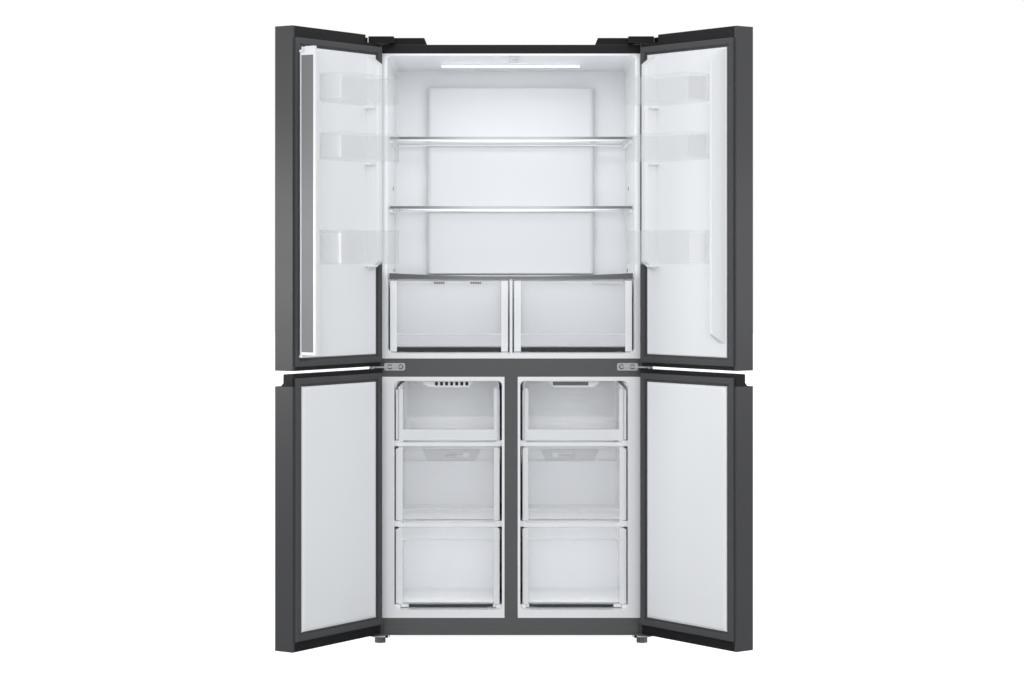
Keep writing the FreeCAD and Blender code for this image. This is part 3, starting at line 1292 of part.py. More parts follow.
def door_bin(floor, height):
    """A clear bin with rounded front corners and a thicker rim."""
    x = (HINGE_DYKE[1] + BIN_SIDE_GAP, FREE_DYKE[0] - BIN_SIDE_GAP)
    y = (DOOR_BACK + BIN_BACK, DOOR_BACK + BIN_REACH)
    top = floor + height

    def form(offset, z):
        shape = block((x[0] + offset, x[1] - offset), (y[0] + offset, y[1] - offset), z)
        return rounded(shape, BIN_CORNER - offset, ALONG_Z, lambda m: m.y > y[1] - BIN_CORNER)

    tub = form(0, (floor, top))
    rim = form(-BIN_RIM_STEP, (top - BIN_RIM, top))
    return joined(tub, rim).cut(form(BIN_WALL, (floor + BIN_WALL, top + CUT)))


# Folding mullion flap

def flap_plan(z):
    """The flap's section, folded back along the door, rounded about its pivot."""
    far = FLAP_NEAR + FLAP_WIDTH
    form = block((FLAP_FACE - FLAP_THICKNESS, FLAP_FACE), (FLAP_NEAR, far), z)
    near_face = lambda middle: middle.y < FLAP_NEAR + TOUCH and middle.x > FLAP_FACE - TOUCH
    form = rounded(form, FLAP_PIVOT_ROUND, ALONG_Z, near_face)
    return rounded(form, FLAP_LUG_WALL, ALONG_Z, lambda middle: middle.y > far - TOUCH)


def flap_plate():
    """The grey sealing plate, let into the flap's face."""
    start = FLAP_NEAR + FLAP_PLATE_OFFSET
    return block(
        (FLAP_FACE - FLAP_PLATE_THICKNESS, FLAP_FACE),
        (start, start + FLAP_PLATE_WIDTH),
        (FLAP_BOTTOM + FLAP_PLATE_OFFSET, FLAP_TOP - FLAP_PLATE_OFFSET),
    )


def flap_case():
    """The white flap with its two pivot pins and the lug that the ceiling guide catches."""
    body = flap_plan((FLAP_BOTTOM, FLAP_TOP)).cut(flap_plate())
    start = FLAP_NEAR + FLAP_LUG_OFFSET
    lug = block(
        (FLAP_FACE - FLAP_THICKNESS + FLAP_LUG_WALL, FLAP_FACE - FLAP_LUG_WALL),
        (start, start + FLAP_LUG_LENGTH),
        (FLAP_TOP - FLAP_LUG_WALL, FLAP_TOP + FLAP_LUG_HEIGHT),
    )
    lug = rounded(lug, FLAP_LUG_WALL, ALONG_Z)
    pin = rod(
        FLAP_PIN_RADIUS,
        Vector(FLAP_AXIS_X, FLAP_AXIS_Y, FLAP_BOTTOM - FLAP_PIN_LENGTH),
        Vector(FLAP_AXIS_X, FLAP_AXIS_Y, FLAP_TOP + FLAP_PIN_LENGTH),
    )
    return joined(body, lug, pin.cut(body))


def flap_tabs():
    """The two ears on the upper left door's liner that hold the flap's pins."""
    root = FREE_DYKE[0] + FREE_DYKE_CREST
    crest = FLAP_NEAR + 2 * FLAP_PIVOT_INSET
    low = FLAP_BOTTOM - FLAP_TAB_GAP
    high = FLAP_TOP + FLAP_TAB_GAP
    tabs = []
    for z in ((low - FLAP_TAB_HEIGHT, low), (high, high + FLAP_TAB_HEIGHT)):
        stand = block((root, FREE_DYKE[1]), (DOOR_BACK + DOOR_LINER_RISE / 2, crest), z)
        ear = block((root, FLAP_AXIS_X + FLAP_PIVOT_INSET), (FLAP_NEAR, crest), z)
        tabs.append(joined(stand, ear))
    radius = FLAP_PIN_RADIUS + RUNNING_CLEARANCE
    bore = rod(
        radius,
        Vector(FLAP_AXIS_X, FLAP_AXIS_Y, low - FLAP_TAB_HEIGHT - CUT),
        Vector(FLAP_AXIS_X, FLAP_AXIS_Y, high + FLAP_TAB_HEIGHT + CUT),
    )
    return [tab.cut(bore) for tab in tabs]


def flap_guide():
    """The block under the fridge ceiling with the groove that turns the flap as the door closes."""
    x = (-FLAP_GUIDE_LEFT, -FLAP_GUIDE_LEFT + FLAP_GUIDE_WIDTH)
    y = (FLAP_GUIDE_SETBACK, FLAP_GUIDE_SETBACK + FLAP_GUIDE_LENGTH)
    low = FRIDGE_CEILING - FLAP_GUIDE_HEIGHT
    body = rounded(block(x, y, (low, FRIDGE_CEILING)), FLAP_GUIDE_HEIGHT / 4, ALONG_Z)
    groove = rod(
        FLAP_GUIDE_WIDTH / 3,
        Vector((x[0] + x[1]) / 2, y[0], low - CUT),
        Vector((x[0] + x[1]) / 2, y[0], FRIDGE_CEILING - FLAP_GUIDE_HEIGHT / 2),
    )
    return body.cut(groove)


# Hinges, left-hand

def hinge_arm(outline, z):
    """A flat plate with a round end on the pivot."""
    plate = prism([Vector(x, y, z[0]) for x, y in outline], Vector(0, 0, z[1] - z[0]))
    eye = rod(HINGE_ARM_HALF, Vector(PIVOT_X, PIVOT_Y, z[0]), Vector(PIVOT_X, PIVOT_Y, z[1]))
    return joined(plate, eye)


def pin(low, high):
    """A hinge pin on the door's pivot."""
    return rod(PIN_RADIUS, Vector(PIVOT_X, PIVOT_Y, low), Vector(PIVOT_X, PIVOT_Y, high))


def top_hinge():
    """The plate screwed to the cabinet's top, whose pin reaches down into the upper door."""
    low = CABINET_TOP
    left = PIVOT_X - HINGE_ARM_HALF
    right = left + TOP_HINGE_WIDTH
    outline = [
        (left, PIVOT_Y),
        (PIVOT_X + HINGE_ARM_HALF, PIVOT_Y),
        (right, HINGE_ARM_HALF),
        (right, TOP_HINGE_LENGTH),
        (left, TOP_HINGE_LENGTH),
    ]
    arm = hinge_arm(outline, (low, low + HINGE_PLATE))
    return joined(arm, pin(low - TOP_PIN_LENGTH, low + HINGE_PLATE))


def hinge_cover():
    """The moulded cover over a top hinge, with a nose over the pivot and a slanted inner end."""
    left = -HALF_WIDTH
    right = left + HINGE_COVER_LENGTH

    def form(offset, top):
        nose = PIVOT_Y - HINGE_COVER_NOSE + offset
        neck = left + HINGE_COVER_NECK - offset
        outline = [
            Vector(left + offset, nose, CABINET_TOP),
            Vector(neck, nose, CABINET_TOP),
            Vector(neck, offset, CABINET_TOP),
            Vector(right - offset, offset, CABINET_TOP),
            Vector(right - offset, HINGE_COVER_BACK - offset, CABINET_TOP),
            Vector(left + offset, HINGE_COVER_BACK - offset, CABINET_TOP),
        ]
        return prism(outline, Vector(0, 0, top - CABINET_TOP))

    wall = HINGE_COVER_WALL
    height = DOOR_RISE
    cover = form(0, CABINET_TOP + height).cut(form(wall, CABINET_TOP + height - wall))
    slant = prism(
        [
            Vector(right - HINGE_COVER_SLANT, -CUT, CABINET_TOP + height),
            Vector(right + CUT, -CUT, CABINET_TOP + height),
            Vector(right + CUT, -CUT, CABINET_TOP),
            Vector(right, -CUT, CABINET_TOP),
        ],
        Vector(0, HINGE_COVER_BACK + 2 * CUT, 0),
    )
    end = prism(
        [
            Vector(right - HINGE_COVER_SLANT, 0, CABINET_TOP + height),
            Vector(right, 0, CABINET_TOP),
            Vector(right - wall, 0, CABINET_TOP),
            Vector(right - HINGE_COVER_SLANT - wall, 0, CABINET_TOP + height),
        ],
        Vector(0, HINGE_COVER_BACK, 0),
    )
    return joined(cover.cut(slant), end)


def centre_hinge():
    """The bracket on the centre rail, with a pin up into one door and a pin down into the other."""
    start = -HALF_WIDTH + CENTRE_HINGE_START
    end = start + CENTRE_HINGE_LENGTH
    low = DOOR_SPLIT - CENTRE_HINGE_HEIGHT / 2
    plate = block((start, end), (-CENTRE_HINGE_SHEET, 0), (low, low + CENTRE_HINGE_HEIGHT))
    plate = rounded(plate, CENTRE_HINGE_HEIGHT / 4, ALONG_Y)
    z = (DOOR_SPLIT - HINGE_PLATE / 2, DOOR_SPLIT + HINGE_PLATE / 2)
    outline = [
        (PIVOT_X - HINGE_ARM_HALF, PIVOT_Y),
        (PIVOT_X + HINGE_ARM_HALF / 2, PIVOT_Y - HINGE_ARM_HALF / 2),
        (end - HINGE_ARM_HALF, -CENTRE_HINGE_SHEET / 2),
        (start, -CENTRE_HINGE_SHEET / 2),
    ]
    arm = hinge_arm(outline, z)
    return joined(arm, plate, pin(z[0] - CENTRE_PIN_LENGTH, z[1] + CENTRE_PIN_LENGTH))


def bottom_hinge():
    """The bracket on the base rail, whose pin reaches up into the lower door."""
    start = -HALF_WIDTH + CENTRE_HINGE_START
    end = start + BOTTOM_HINGE_LENGTH
    low = CABINET_BOTTOM + BOTTOM_HINGE_RISE
    plate = block((start, end), (-CENTRE_HINGE_SHEET, 0), (low, low + BOTTOM_HINGE_HEIGHT))
    outline = [
        (PIVOT_X - HINGE_ARM_HALF, PIVOT_Y),
        (PIVOT_X + HINGE_ARM_HALF / 2, PIVOT_Y - HINGE_ARM_HALF / 2),
        (end - HINGE_ARM_HALF, -CENTRE_HINGE_SHEET / 2),
        (start, -CENTRE_HINGE_SHEET / 2),
    ]
    arm = hinge_arm(outline, (low, low + HINGE_PLATE))
    return joined(arm, plate, pin(low, low + HINGE_PLATE + BOTTOM_PIN_LENGTH))


# Feet and rollers, left-hand

def front_foot():
    """A levelling foot with a toothed rim to turn it by, and a stud."""
    middle = Vector(-(HALF_WIDTH - FOOT_FROM_SIDE), FOOT_SETBACK, 0)
    points = []
    for count in range(4 * FOOT_TEETH):
        reach = FOOT_RADIUS if count % 4 < 2 else FOOT_RADIUS - FOOT_TOOTH_DEPTH
        turn = 2 * math.pi * count / (4 * FOOT_TEETH)
        points.append(middle + Vector(reach * math.cos(turn), reach * math.sin(turn), 0))
    disc = prism(points, Vector(0, 0, FOOT_HEIGHT))
    collar = rod(FOOT_COLLAR_RADIUS, middle, middle + Vector(0, 0, CABINET_BOTTOM - SLIDE_CLEARANCE))
    stud = rod(FOOT_STUD_RADIUS, middle, middle + Vector(0, 0, FOOT_STUD_TOP))
    return joined(disc, collar, stud)


ROLLER_MIDDLE = Vector(-(HALF_WIDTH - ROLLER_FROM_SIDE), CABINET_DEPTH - ROLLER_FROM_BACK, ROLLER_RADIUS)


def roller_bar(radius, half):
    """A round bar across the roller's axle line."""
    return rod(radius, ROLLER_MIDDLE - Vector(half, 0, 0), ROLLER_MIDDLE + Vector(half, 0, 0))


def rear_roller():
    """A plain roller with a bore for its axle."""
    wheel = roller_bar(ROLLER_RADIUS, ROLLER_WIDTH / 2)
    return wheel.cut(roller_bar(ROLLER_AXLE_RADIUS + RUNNING_CLEARANCE, ROLLER_WIDTH))


def roller_bracket():
    """The fork under the base plate that carries a roller on its axle."""
    inner = ROLLER_WIDTH / 2 + ROLLER_SIDE_GAP
    outer = inner + ROLLER_FORK
    half = ROLLER_FORK_LENGTH / 2
    low = ROLLER_MIDDLE.z - ROLLER_AXLE_RADIUS - ROLLER_FORK
    y = (ROLLER_MIDDLE.y - half, ROLLER_MIDDLE.y + half)
    legs = []
    for x in ((-outer, -inner), (inner, outer)):
        legs.append(block((ROLLER_MIDDLE.x + x[0], ROLLER_MIDDLE.x + x[1]), y, (low, CABINET_BOTTOM)))
    return joined(roller_bar(ROLLER_AXLE_RADIUS, outer), *legs)


# Writing the pieces

LEFT_TURN = (Vector(PIVOT_X, PIVOT_Y, 0), -LEFT_DOOR_ANGLE)
RIGHT_TURN = (Vector(-PIVOT_X, PIVOT_Y, 0), RIGHT_DOOR_ANGLE)


def save_cabinet():
    """The fixed pieces of the cabinet and what moves on them, apart from doors and drawers."""
    shell = cabinet_shell()
    back = back_panel()
    base = base_plate()
    rails = [top_rail(), centre_rail(), base_rail()]
    fridge = fridge_liner()
    freezers = both_sides(freezer_liner())
    save("cabinet_shell", [shell])
    save("back_panel", [back])
    save("base_plate", [base])
    save("top_rail", rails[0:1])
    save("centre_rail", rails[1:2])
    save("base_rail", rails[2:3])
    save("fridge_liner", [fridge])
    save("freezer_liners", freezers)
    save("foam_insulation", [foam_insulation([shell, back, base, fridge] + rails + freezers)])
    save("machine_room_cover", [machine_room_cover()])
    save("top_hinges", both_sides(top_hinge()))
    save("top_hinge_covers", both_sides(hinge_cover()))
    save("centre_hinges", both_sides(centre_hinge()))
    save("bottom_hinges", both_sides(bottom_hinge()))
    save("mullion_guide", [flap_guide()])
    save("roller_brackets", both_sides(roller_bracket()))
    for side, roller, foot in zip(("left", "right"), both_sides(rear_roller()), both_sides(front_foot())):
        save("rear_roller_" + side, [roller])
        save("front_foot_" + side, [foot])


def save_cooling():
    """The compressor, coils, tray and fans."""
    save("compressor", [compressor()])
    save("condenser", [condenser()])
    save("drip_tray", [drip_tray()])
    save("evaporator", [evaporator()])
    save("fan_motors", fan_motors())
    save("evaporator_fan", [fan(FREEZER_FAN_RADIUS, FREEZER_FAN_HUB, FREEZER_FAN_AXIS)])
    save("condenser_fan", [fan(CONDENSER_FAN_RADIUS, CONDENSER_FAN_HUB, CONDENSER_FAN_AXIS)])
    save("freezer_ducts", both_sides(rear_duct()) + both_sides(ceiling_duct()))


def save_compartments():
    """The shelves, lamp, duct panel and drawers."""
    tops = (LOWER_SHELF_TOP, UPPER_SHELF_TOP)
    panes = [shelf_pane(SHELF_FRONT, top) for top in tops]
    save("shelf_glass", panes + [shelf_pane(CRISPER_COVER_FRONT, CRISPER_COVER_TOP)])
    frames = [bowed_shelf_frame(top) for top in tops]
    save("shelf_frames", frames + [crisper_cover_frame(), crisper_divider()])
    save("air_duct_cover", [air_duct_cover()])
    save("ceiling_light", [ceiling_light()])
    drawers = {
        "crisper": crisper(),
        "top_freezer_drawer": top_drawer(),
        "middle_freezer_drawer": middle_drawer(),
        "bottom_freezer_drawer": bottom_drawer(),
    }
    for name, drawer in drawers.items():
        for side, twin in zip(("left", "right"), both_sides(drawer)):
            save(name + "_" + side, [twin])


def save_doors():
    """The four doors with their bins, and the flap on the upper left one."""
    pieces = {
        "upper_{}_door_skin": [upper_skin()],
        "upper_{}_door_caps": upper_caps(),
        "upper_{}_door_gasket": [gasket(UPPER_SEAL)],
        "upper_{}_door_bins": [door_bin(floor, height) for floor, height in BINS],
        "lower_{}_door_skin": [lower_skin()],
        "lower_{}_door_caps": lower_caps(),
        "lower_{}_door_gasket": [gasket(LOWER_SEAL)],
        "lower_{}_door_liner": [lower_liner()],
    }
    for name, solids in pieces.items():
        save(name.format("left"), solids, LEFT_TURN)
        save(name.format("right"), [mirrored(solid) for solid in solids], RIGHT_TURN)
    liner = upper_liner()
    save("upper_left_door_liner", [joined(liner, *flap_tabs())], LEFT_TURN)
    save("upper_right_door_liner", [mirrored(liner)], RIGHT_TURN)
    save("mullion_flap", [flap_case()], LEFT_TURN)
    save("mullion_flap_plate", [flap_plate()], LEFT_TURN)


def main():
    os.makedirs("parts", exist_ok=True)
    save_cabinet()
    save_cooling()
    save_compartments()
    save_doors()


if __name__ == "__main__":
    main()
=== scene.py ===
# %% [markdown]
# A refrigerator with four doors standing open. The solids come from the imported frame, in metres, and this
# lesson gives them their finishes, adds the small trim that a solid model leaves out, and sets up the
# picture. The trim takes its places from the boxes of the solids, so the two stay together.

# %% Load the frame
import json
import math

import bmesh
import bpy
from mathutils import Matrix, Vector

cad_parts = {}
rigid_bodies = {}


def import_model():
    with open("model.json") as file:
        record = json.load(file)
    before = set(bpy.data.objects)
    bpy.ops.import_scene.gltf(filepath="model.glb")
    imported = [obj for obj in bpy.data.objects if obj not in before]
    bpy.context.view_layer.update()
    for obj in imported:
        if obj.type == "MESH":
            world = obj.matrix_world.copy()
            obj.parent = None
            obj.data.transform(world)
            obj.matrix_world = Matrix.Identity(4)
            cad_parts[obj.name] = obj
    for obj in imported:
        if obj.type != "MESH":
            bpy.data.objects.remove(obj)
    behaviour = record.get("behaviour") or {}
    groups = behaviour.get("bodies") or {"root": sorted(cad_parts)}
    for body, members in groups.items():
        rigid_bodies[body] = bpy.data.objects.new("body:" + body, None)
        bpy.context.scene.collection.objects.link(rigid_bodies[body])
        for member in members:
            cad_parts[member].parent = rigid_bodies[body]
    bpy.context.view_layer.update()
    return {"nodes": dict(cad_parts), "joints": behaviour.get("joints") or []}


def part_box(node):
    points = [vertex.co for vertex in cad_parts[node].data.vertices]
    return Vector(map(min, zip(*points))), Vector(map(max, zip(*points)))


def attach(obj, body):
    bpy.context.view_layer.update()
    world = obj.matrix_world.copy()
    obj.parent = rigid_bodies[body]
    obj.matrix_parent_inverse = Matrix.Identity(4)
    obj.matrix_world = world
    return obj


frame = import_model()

nodes = frame["nodes"]

# %% [markdown]
# The camera repeats the photograph. It looks straight along +Y from just above the crispers' height, so
# upright edges stay upright, and a vertical shift of the sensor brings the top of the doors into the frame.
# The distance and the lens were worked out together from how much larger the near door edges look.

# %% Camera at the photograph's place
PHOTO_WIDTH = 1024
PHOTO_HEIGHT = 677
FOCAL_PIXELS = 2400.0
HORIZON_ROW = 260.0
VANISHING_COLUMN = 505.0
SENSOR_WIDTH = 36.0
CAMERA_DISTANCE = 7.069
CAMERA_HEIGHT = 1.133
CAMERA_SIDE = -0.018
CLIP_END = 60.0

shell_low, shell_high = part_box("cabinet_shell")
front_plane = shell_low[1]

lens = bpy.data.cameras.new("photo_camera")
lens.sensor_width = SENSOR_WIDTH
lens.lens = FOCAL_PIXELS / PHOTO_WIDTH * SENSOR_WIDTH
lens.shift_x = (PHOTO_WIDTH / 2 - VANISHING_COLUMN) / PHOTO_WIDTH
lens.shift_y = (HORIZON_ROW - PHOTO_HEIGHT / 2) / PHOTO_WIDTH
lens.clip_end = CLIP_END
camera = bpy.data.objects.new("photo_camera", lens)
camera.location = (CAMERA_SIDE, front_plane - CAMERA_DISTANCE, CAMERA_HEIGHT)
camera.rotation_euler = (math.pi / 2, 0, 0)
bpy.context.scene.collection.objects.link(camera)
bpy.context.scene.camera = camera
print("lens", round(lens.lens, 1), "mm, shift", round(lens.shift_x, 4), round(lens.shift_y, 4))

# %% [markdown]
# The studio is white. The camera, reflections and clear plastic see a pure white sky, while the light that
# it sends is a little cooler. A Light Path node tells these rays apart, so one world does both jobs, and
# the background needs no work after the render.

# %% Sky
SKY_LIGHT = 1.0
SKY_TINT = (0.96, 0.98, 1.0, 1.0)
SKY_SEEN = (1.0, 1.0, 1.0, 1.0)


def join_values(tree, operation, first, second):
    """A Math node between two sockets, or between a socket and a number."""
    node = tree.nodes.new("ShaderNodeMath")
    node.operation = operation
    tree.links.new(first, node.inputs[0])
    if isinstance(second, float):
        node.inputs[1].default_value = second
    else:
        tree.links.new(second, node.inputs[1])
    return node.outputs[0]


world = bpy.data.worlds.new("studio_sky")
bpy.context.scene.world = world
world.use_nodes = True
sky = world.node_tree
sky.nodes.clear()
sky_out = sky.nodes.new("ShaderNodeOutputWorld")
rays = sky.nodes.new("ShaderNodeLightPath").outputs
indirect = join_values(sky, "MAXIMUM", rays["Is Glossy Ray"], rays["Is Transmission Ray"])
seen = join_values(sky, "MAXIMUM", rays["Is Camera Ray"], indirect)
sky_light = sky.nodes.new("ShaderNodeBackground")
sky_light.inputs["Color"].default_value = SKY_TINT
sky_light.inputs["Strength"].default_value = SKY_LIGHT
sky_white = sky.nodes.new("ShaderNodeBackground")
sky_white.inputs["Color"].default_value = SKY_SEEN
sky_mix = sky.nodes.new("ShaderNodeMixShader")
sky.links.new(seen, sky_mix.inputs["Fac"])
sky.links.new(sky_light.outputs[0], sky_mix.inputs[1])
sky.links.new(sky_white.outputs[0], sky_mix.inputs[2])
sky.links.new(sky_mix.outputs[0], sky_out.inputs["Surface"])
bpy.context.scene.view_settings.view_transform = "Standard"
print("sky light", SKY_LIGHT)

# %% [markdown]
# One wide sun from the camera's side lights all that faces the front. Two weak, narrow lamps stand far out
# to the sides, where they reach the free edges of the doors but not the liners, and the satin paint of the
# edges mirrors them. The left one is stronger, and both aim at the upper half, so the edges get darker
# towards the floor.

# %% Sun and side lamps
SUN_STRENGTH = 0.85
SUN_SPREAD = math.radians(30)
SUN_PLACE = (0.0, -6.0, 0.6)
LEFT_POWER = 1.8
LEFT_PLACE = (-2.5, -1.0, 1.15)
LEFT_AIM = (-0.65, -0.53, 1.1)
RIGHT_POWER = 0.45
RIGHT_PLACE = (2.5, -0.86, 1.15)
RIGHT_AIM = (0.67, -0.53, 1.1)
SIDE_LAMP_SIZE = (0.3, 0.5)
SIDE_LAMP_SPREAD = math.radians(64)


def hang_lamp(data, place, aim, glossy):
    """A lamp at a place, turned to shine at a point, and mirrored by glossy faces or not."""
    lamp = bpy.data.objects.new(data.name, data)
    lamp.location = place
    lamp.rotation_euler = (Vector(aim) - Vector(place)).to_track_quat("-Z", "Y").to_euler()
    lamp.visible_glossy = glossy
    bpy.context.scene.collection.objects.link(lamp)


def area_lamp(name, width, height, power):
    """The data of a rectangular lamp."""
    data = bpy.data.lights.new(name, "AREA")
    data.shape = "RECTANGLE"
    data.size = width
    data.size_y = height
    data.energy = power
    return data


def side_lamp(name, power, place, aim):
    """An upright lamp with a narrow beam."""
    data = area_lamp(name, *SIDE_LAMP_SIZE, power)
    data.spread = SIDE_LAMP_SPREAD
    hang_lamp(data, place, aim, True)


sun = bpy.data.lights.new("front_sun", "SUN")
sun.energy = SUN_STRENGTH
sun.angle = SUN_SPREAD
hang_lamp(sun, SUN_PLACE, (0, 0, 0), False)
side_lamp("left_lamp", LEFT_POWER, LEFT_PLACE, LEFT_AIM)
side_lamp("right_lamp", RIGHT_POWER, RIGHT_PLACE, RIGHT_AIM)
print("lamps outside", len(bpy.data.lights))

# %% [markdown]
# Light from the front falls off towards the back of a deep compartment, and the real one is bright all
# through. A lamp as large as the opening stands in the mouth of the fridge, of each crisper and of each side
# of the freezer, and shines to the back. The freezer's top drawers, which the rail above them shades, get a
# second one. These lamps show no highlight, so they can't be seen themselves. A small lamp under the lens of
# the ceiling light stands for the fridge's own light.

# %% Lamps in the compartments
INNER_POWER = 0.35
INNER_TINT = (0.93, 0.97, 1.0)
INNER_DROP = 0.002
FRIDGE_LEVEL = 0.63
FRIDGE_SETBACK = -0.01
FRIDGE_INSET = 0.0085
CRISPER_LEVEL = 0.35
CRISPER_SETBACK = 0.109
FREEZER_LEVEL = 1.4
FREEZER_TOP_LEVEL = 0.75
FREEZER_SETBACK = 0.065


def room_lamp(name, low, high, setback, level):
    """A lamp as large as a compartment's mouth, behind or before the front plane."""
    width = high[0] - low[0]
    height = high[2] - low[2]
    data = area_lamp(name, width, height, math.pi * width * height * level)
    middle = Vector(((low[0] + high[0]) / 2, front_plane + setback, (low[2] + high[2]) / 2))
    hang_lamp(data, middle, middle + Vector((0, 1, 0)), False)


light_low, light_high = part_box("ceiling_light")
inner = area_lamp("fridge_lamp", light_high[0] - light_low[0], light_high[1] - light_low[1], INNER_POWER)
inner.color = INNER_TINT
inner_x, inner_y = ((light_low[axis] + light_high[axis]) / 2 for axis in range(2))
hang_lamp(inner, (inner_x, inner_y, light_low[2] - INNER_DROP), (0, inner_y, 0), False)
liner_low, liner_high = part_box("fridge_liner")
mouth_low = (liner_low[0] + FRIDGE_INSET, liner_low[1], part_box("air_duct_cover")[0][2])
mouth_high = (liner_high[0] - FRIDGE_INSET, liner_high[1], liner_high[2] - FRIDGE_INSET)
room_lamp("fridge_fill", mouth_low, mouth_high, FRIDGE_SETBACK, FRIDGE_LEVEL)
for side in ("left", "right"):
    bottom_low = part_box("bottom_freezer_drawer_" + side)[0]
    top_low, top_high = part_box("top_freezer_drawer_" + side)
    room_lamp("freezer_fill_" + side, bottom_low, top_high, FREEZER_SETBACK, FREEZER_LEVEL)
    room_lamp("freezer_top_" + side, top_low, top_high, FREEZER_SETBACK, FREEZER_TOP_LEVEL)
    room_lamp("crisper_fill_" + side, *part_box("crisper_" + side), CRISPER_SETBACK, CRISPER_LEVEL)
print("lamps in all", len(bpy.data.lights))

# %% [markdown]
# The floor is a plain plane. Its paint adds a glow just under white for the camera and through clear
# plastic, so that open floor clips to the same white as the sky, and a place that the object shades stays a
# trace darker. Reflections don't see the glow, because it would lift the dark lower edges of the doors.

# %% Floor
FLOOR_SIZE = 60.0
FLOOR_GLOW = 0.96
FLOOR_SHADE = 0.4

floor_bm = bmesh.new()
bmesh.ops.create_grid(floor_bm, x_segments=1, y_segments=1, size=FLOOR_SIZE / 2)
floor_mesh = bpy.data.meshes.new("studio_floor")
floor_bm.to_mesh(floor_mesh)
floor_bm.free()
floor = bpy.data.objects.new("studio_floor", floor_mesh)
bpy.context.scene.collection.objects.link(floor)

floor_paint = bpy.data.materials.new("studio_floor_paint")
floor_paint.use_nodes = True
tree = floor_paint.node_tree
tree.nodes.clear()
floor_out = tree.nodes.new("ShaderNodeOutputMaterial")
rays = tree.nodes.new("ShaderNodeLightPath").outputs
seen = join_values(tree, "MAXIMUM", rays["Is Camera Ray"], rays["Is Transmission Ray"])
floor_diffuse = tree.nodes.new("ShaderNodeBsdfDiffuse")
floor_diffuse.inputs["Color"].default_value = (FLOOR_SHADE, FLOOR_SHADE, FLOOR_SHADE, 1.0)
floor_glow = tree.nodes.new("ShaderNodeEmission")
tree.links.new(join_values(tree, "MULTIPLY", seen, FLOOR_GLOW), floor_glow.inputs["Strength"])
floor_sum = tree.nodes.new("ShaderNodeAddShader")
tree.links.new(floor_diffuse.outputs[0], floor_sum.inputs[0])
tree.links.new(floor_glow.outputs[0], floor_sum.inputs[1])
tree.links.new(floor_sum.outputs[0], floor_out.inputs["Surface"])
floor_mesh.materials.append(floor_paint)
print("floor", FLOOR_SIZE, "m wide")

# %% [markdown]
# Five effects come back in several finishes, so each is a node group that is built once. Fine grain is the
# faint texture of moulded plastic and powder paint. Mottle is a slow change of shade over a large face.
# Brushing is a noise squeezed across one axis, for drawn strips. The last two follow the place on the
# object: one paints a highlight on a strip, bright in the middle and darker towards both ends, and the other
# steps from one value to another at a depth.

# %% Node groups shared by the finishes
FINE_DETAIL = 3.0
SLOW_DETAIL = 4.0


def new_group(name, inputs, outputs):
    """An empty shader group with named sockets."""
    group = bpy.data.node_groups.new(name, "ShaderNodeTree")
    for label, kind, value in inputs:
        socket = group.interface.new_socket(label, in_out="INPUT", socket_type=kind)
        socket.default_value = value
    for label, kind in outputs:
        group.interface.new_socket(label, in_out="OUTPUT", socket_type=kind)
    return group, group.nodes.new("NodeGroupInput"), group.nodes.new("NodeGroupOutput")


def object_place(group):
    """The socket that gives the place on the object."""
    return group.nodes.new("ShaderNodeTexCoord").outputs["Object"]


def add_noise(group, entry, place, detail):
    """A noise at a place, in the scale that the group is given."""
    noise = group.nodes.new("ShaderNodeTexNoise")
    noise.inputs["Detail"].default_value = detail
    group.links.new(place, noise.inputs["Vector"])
    group.links.new(entry.outputs["Scale"], noise.inputs["Scale"])
    return noise.outputs["Fac"]


def grain_group():
    """Fine even noise in object space."""
    group, entry, leave = new_group(
        "fine_grain", [("Scale", "NodeSocketFloat", 900.0)], [("Height", "NodeSocketFloat")]
    )
    noise = add_noise(group, entry, object_place(group), FINE_DETAIL)
    group.links.new(noise, leave.inputs["Height"])
    return group


def mottle_group():
    """A slow change between two shades, with a matching value for roughness."""
    group, entry, leave = new_group(
        "mottle",
        [
            ("Shade", "NodeSocketColor", (0.5, 0.5, 0.5, 1.0)),
            ("Darker Shade", "NodeSocketColor", (0.4, 0.4, 0.4, 1.0)),
            ("Scale", "NodeSocketFloat", 6.0),
            ("Least Roughness", "NodeSocketFloat", 0.3),
            ("Most Roughness", "NodeSocketFloat", 0.4),
        ],
        [("Color", "NodeSocketColor"), ("Roughness", "NodeSocketFloat")],
    )
    noise = add_noise(group, entry, object_place(group), SLOW_DETAIL)
    mix = group.nodes.new("ShaderNodeMix")
    mix.data_type = "RGBA"
    spread = group.nodes.new("ShaderNodeMapRange")
    group.links.new(noise, mix.inputs["Factor"])
    group.links.new(entry.outputs["Shade"], mix.inputs["A"])
    group.links.new(entry.outputs["Darker Shade"], mix.inputs["B"])
    group.links.new(noise, spread.inputs["Value"])
    group.links.new(entry.outputs["Least Roughness"], spread.inputs["To Min"])
    group.links.new(entry.outputs["Most Roughness"], spread.inputs["To Max"])
    group.links.new(mix.outputs["Result"], leave.inputs["Color"])
    group.links.new(spread.outputs["Result"], leave.inputs["Roughness"])
    return group


def brushing_group():
    """Fine lines along one axis, made by squeezing a noise across it."""
    group, entry, leave = new_group(
        "brushing",
        [("Stretch", "NodeSocketVector", (1.0, 1.0, 1.0)), ("Scale", "NodeSocketFloat", 400.0)],
        [("Height", "NodeSocketFloat")],
    )
    squeeze = group.nodes.new("ShaderNodeVectorMath")
    squeeze.operation = "MULTIPLY"
    group.links.new(object_place(group), squeeze.inputs[0])
    group.links.new(entry.outputs["Stretch"], squeeze.inputs[1])
    noise = add_noise(group, entry, squeeze.outputs["Vector"], SLOW_DETAIL)
    group.links.new(noise, leave.inputs["Height"])
    return group


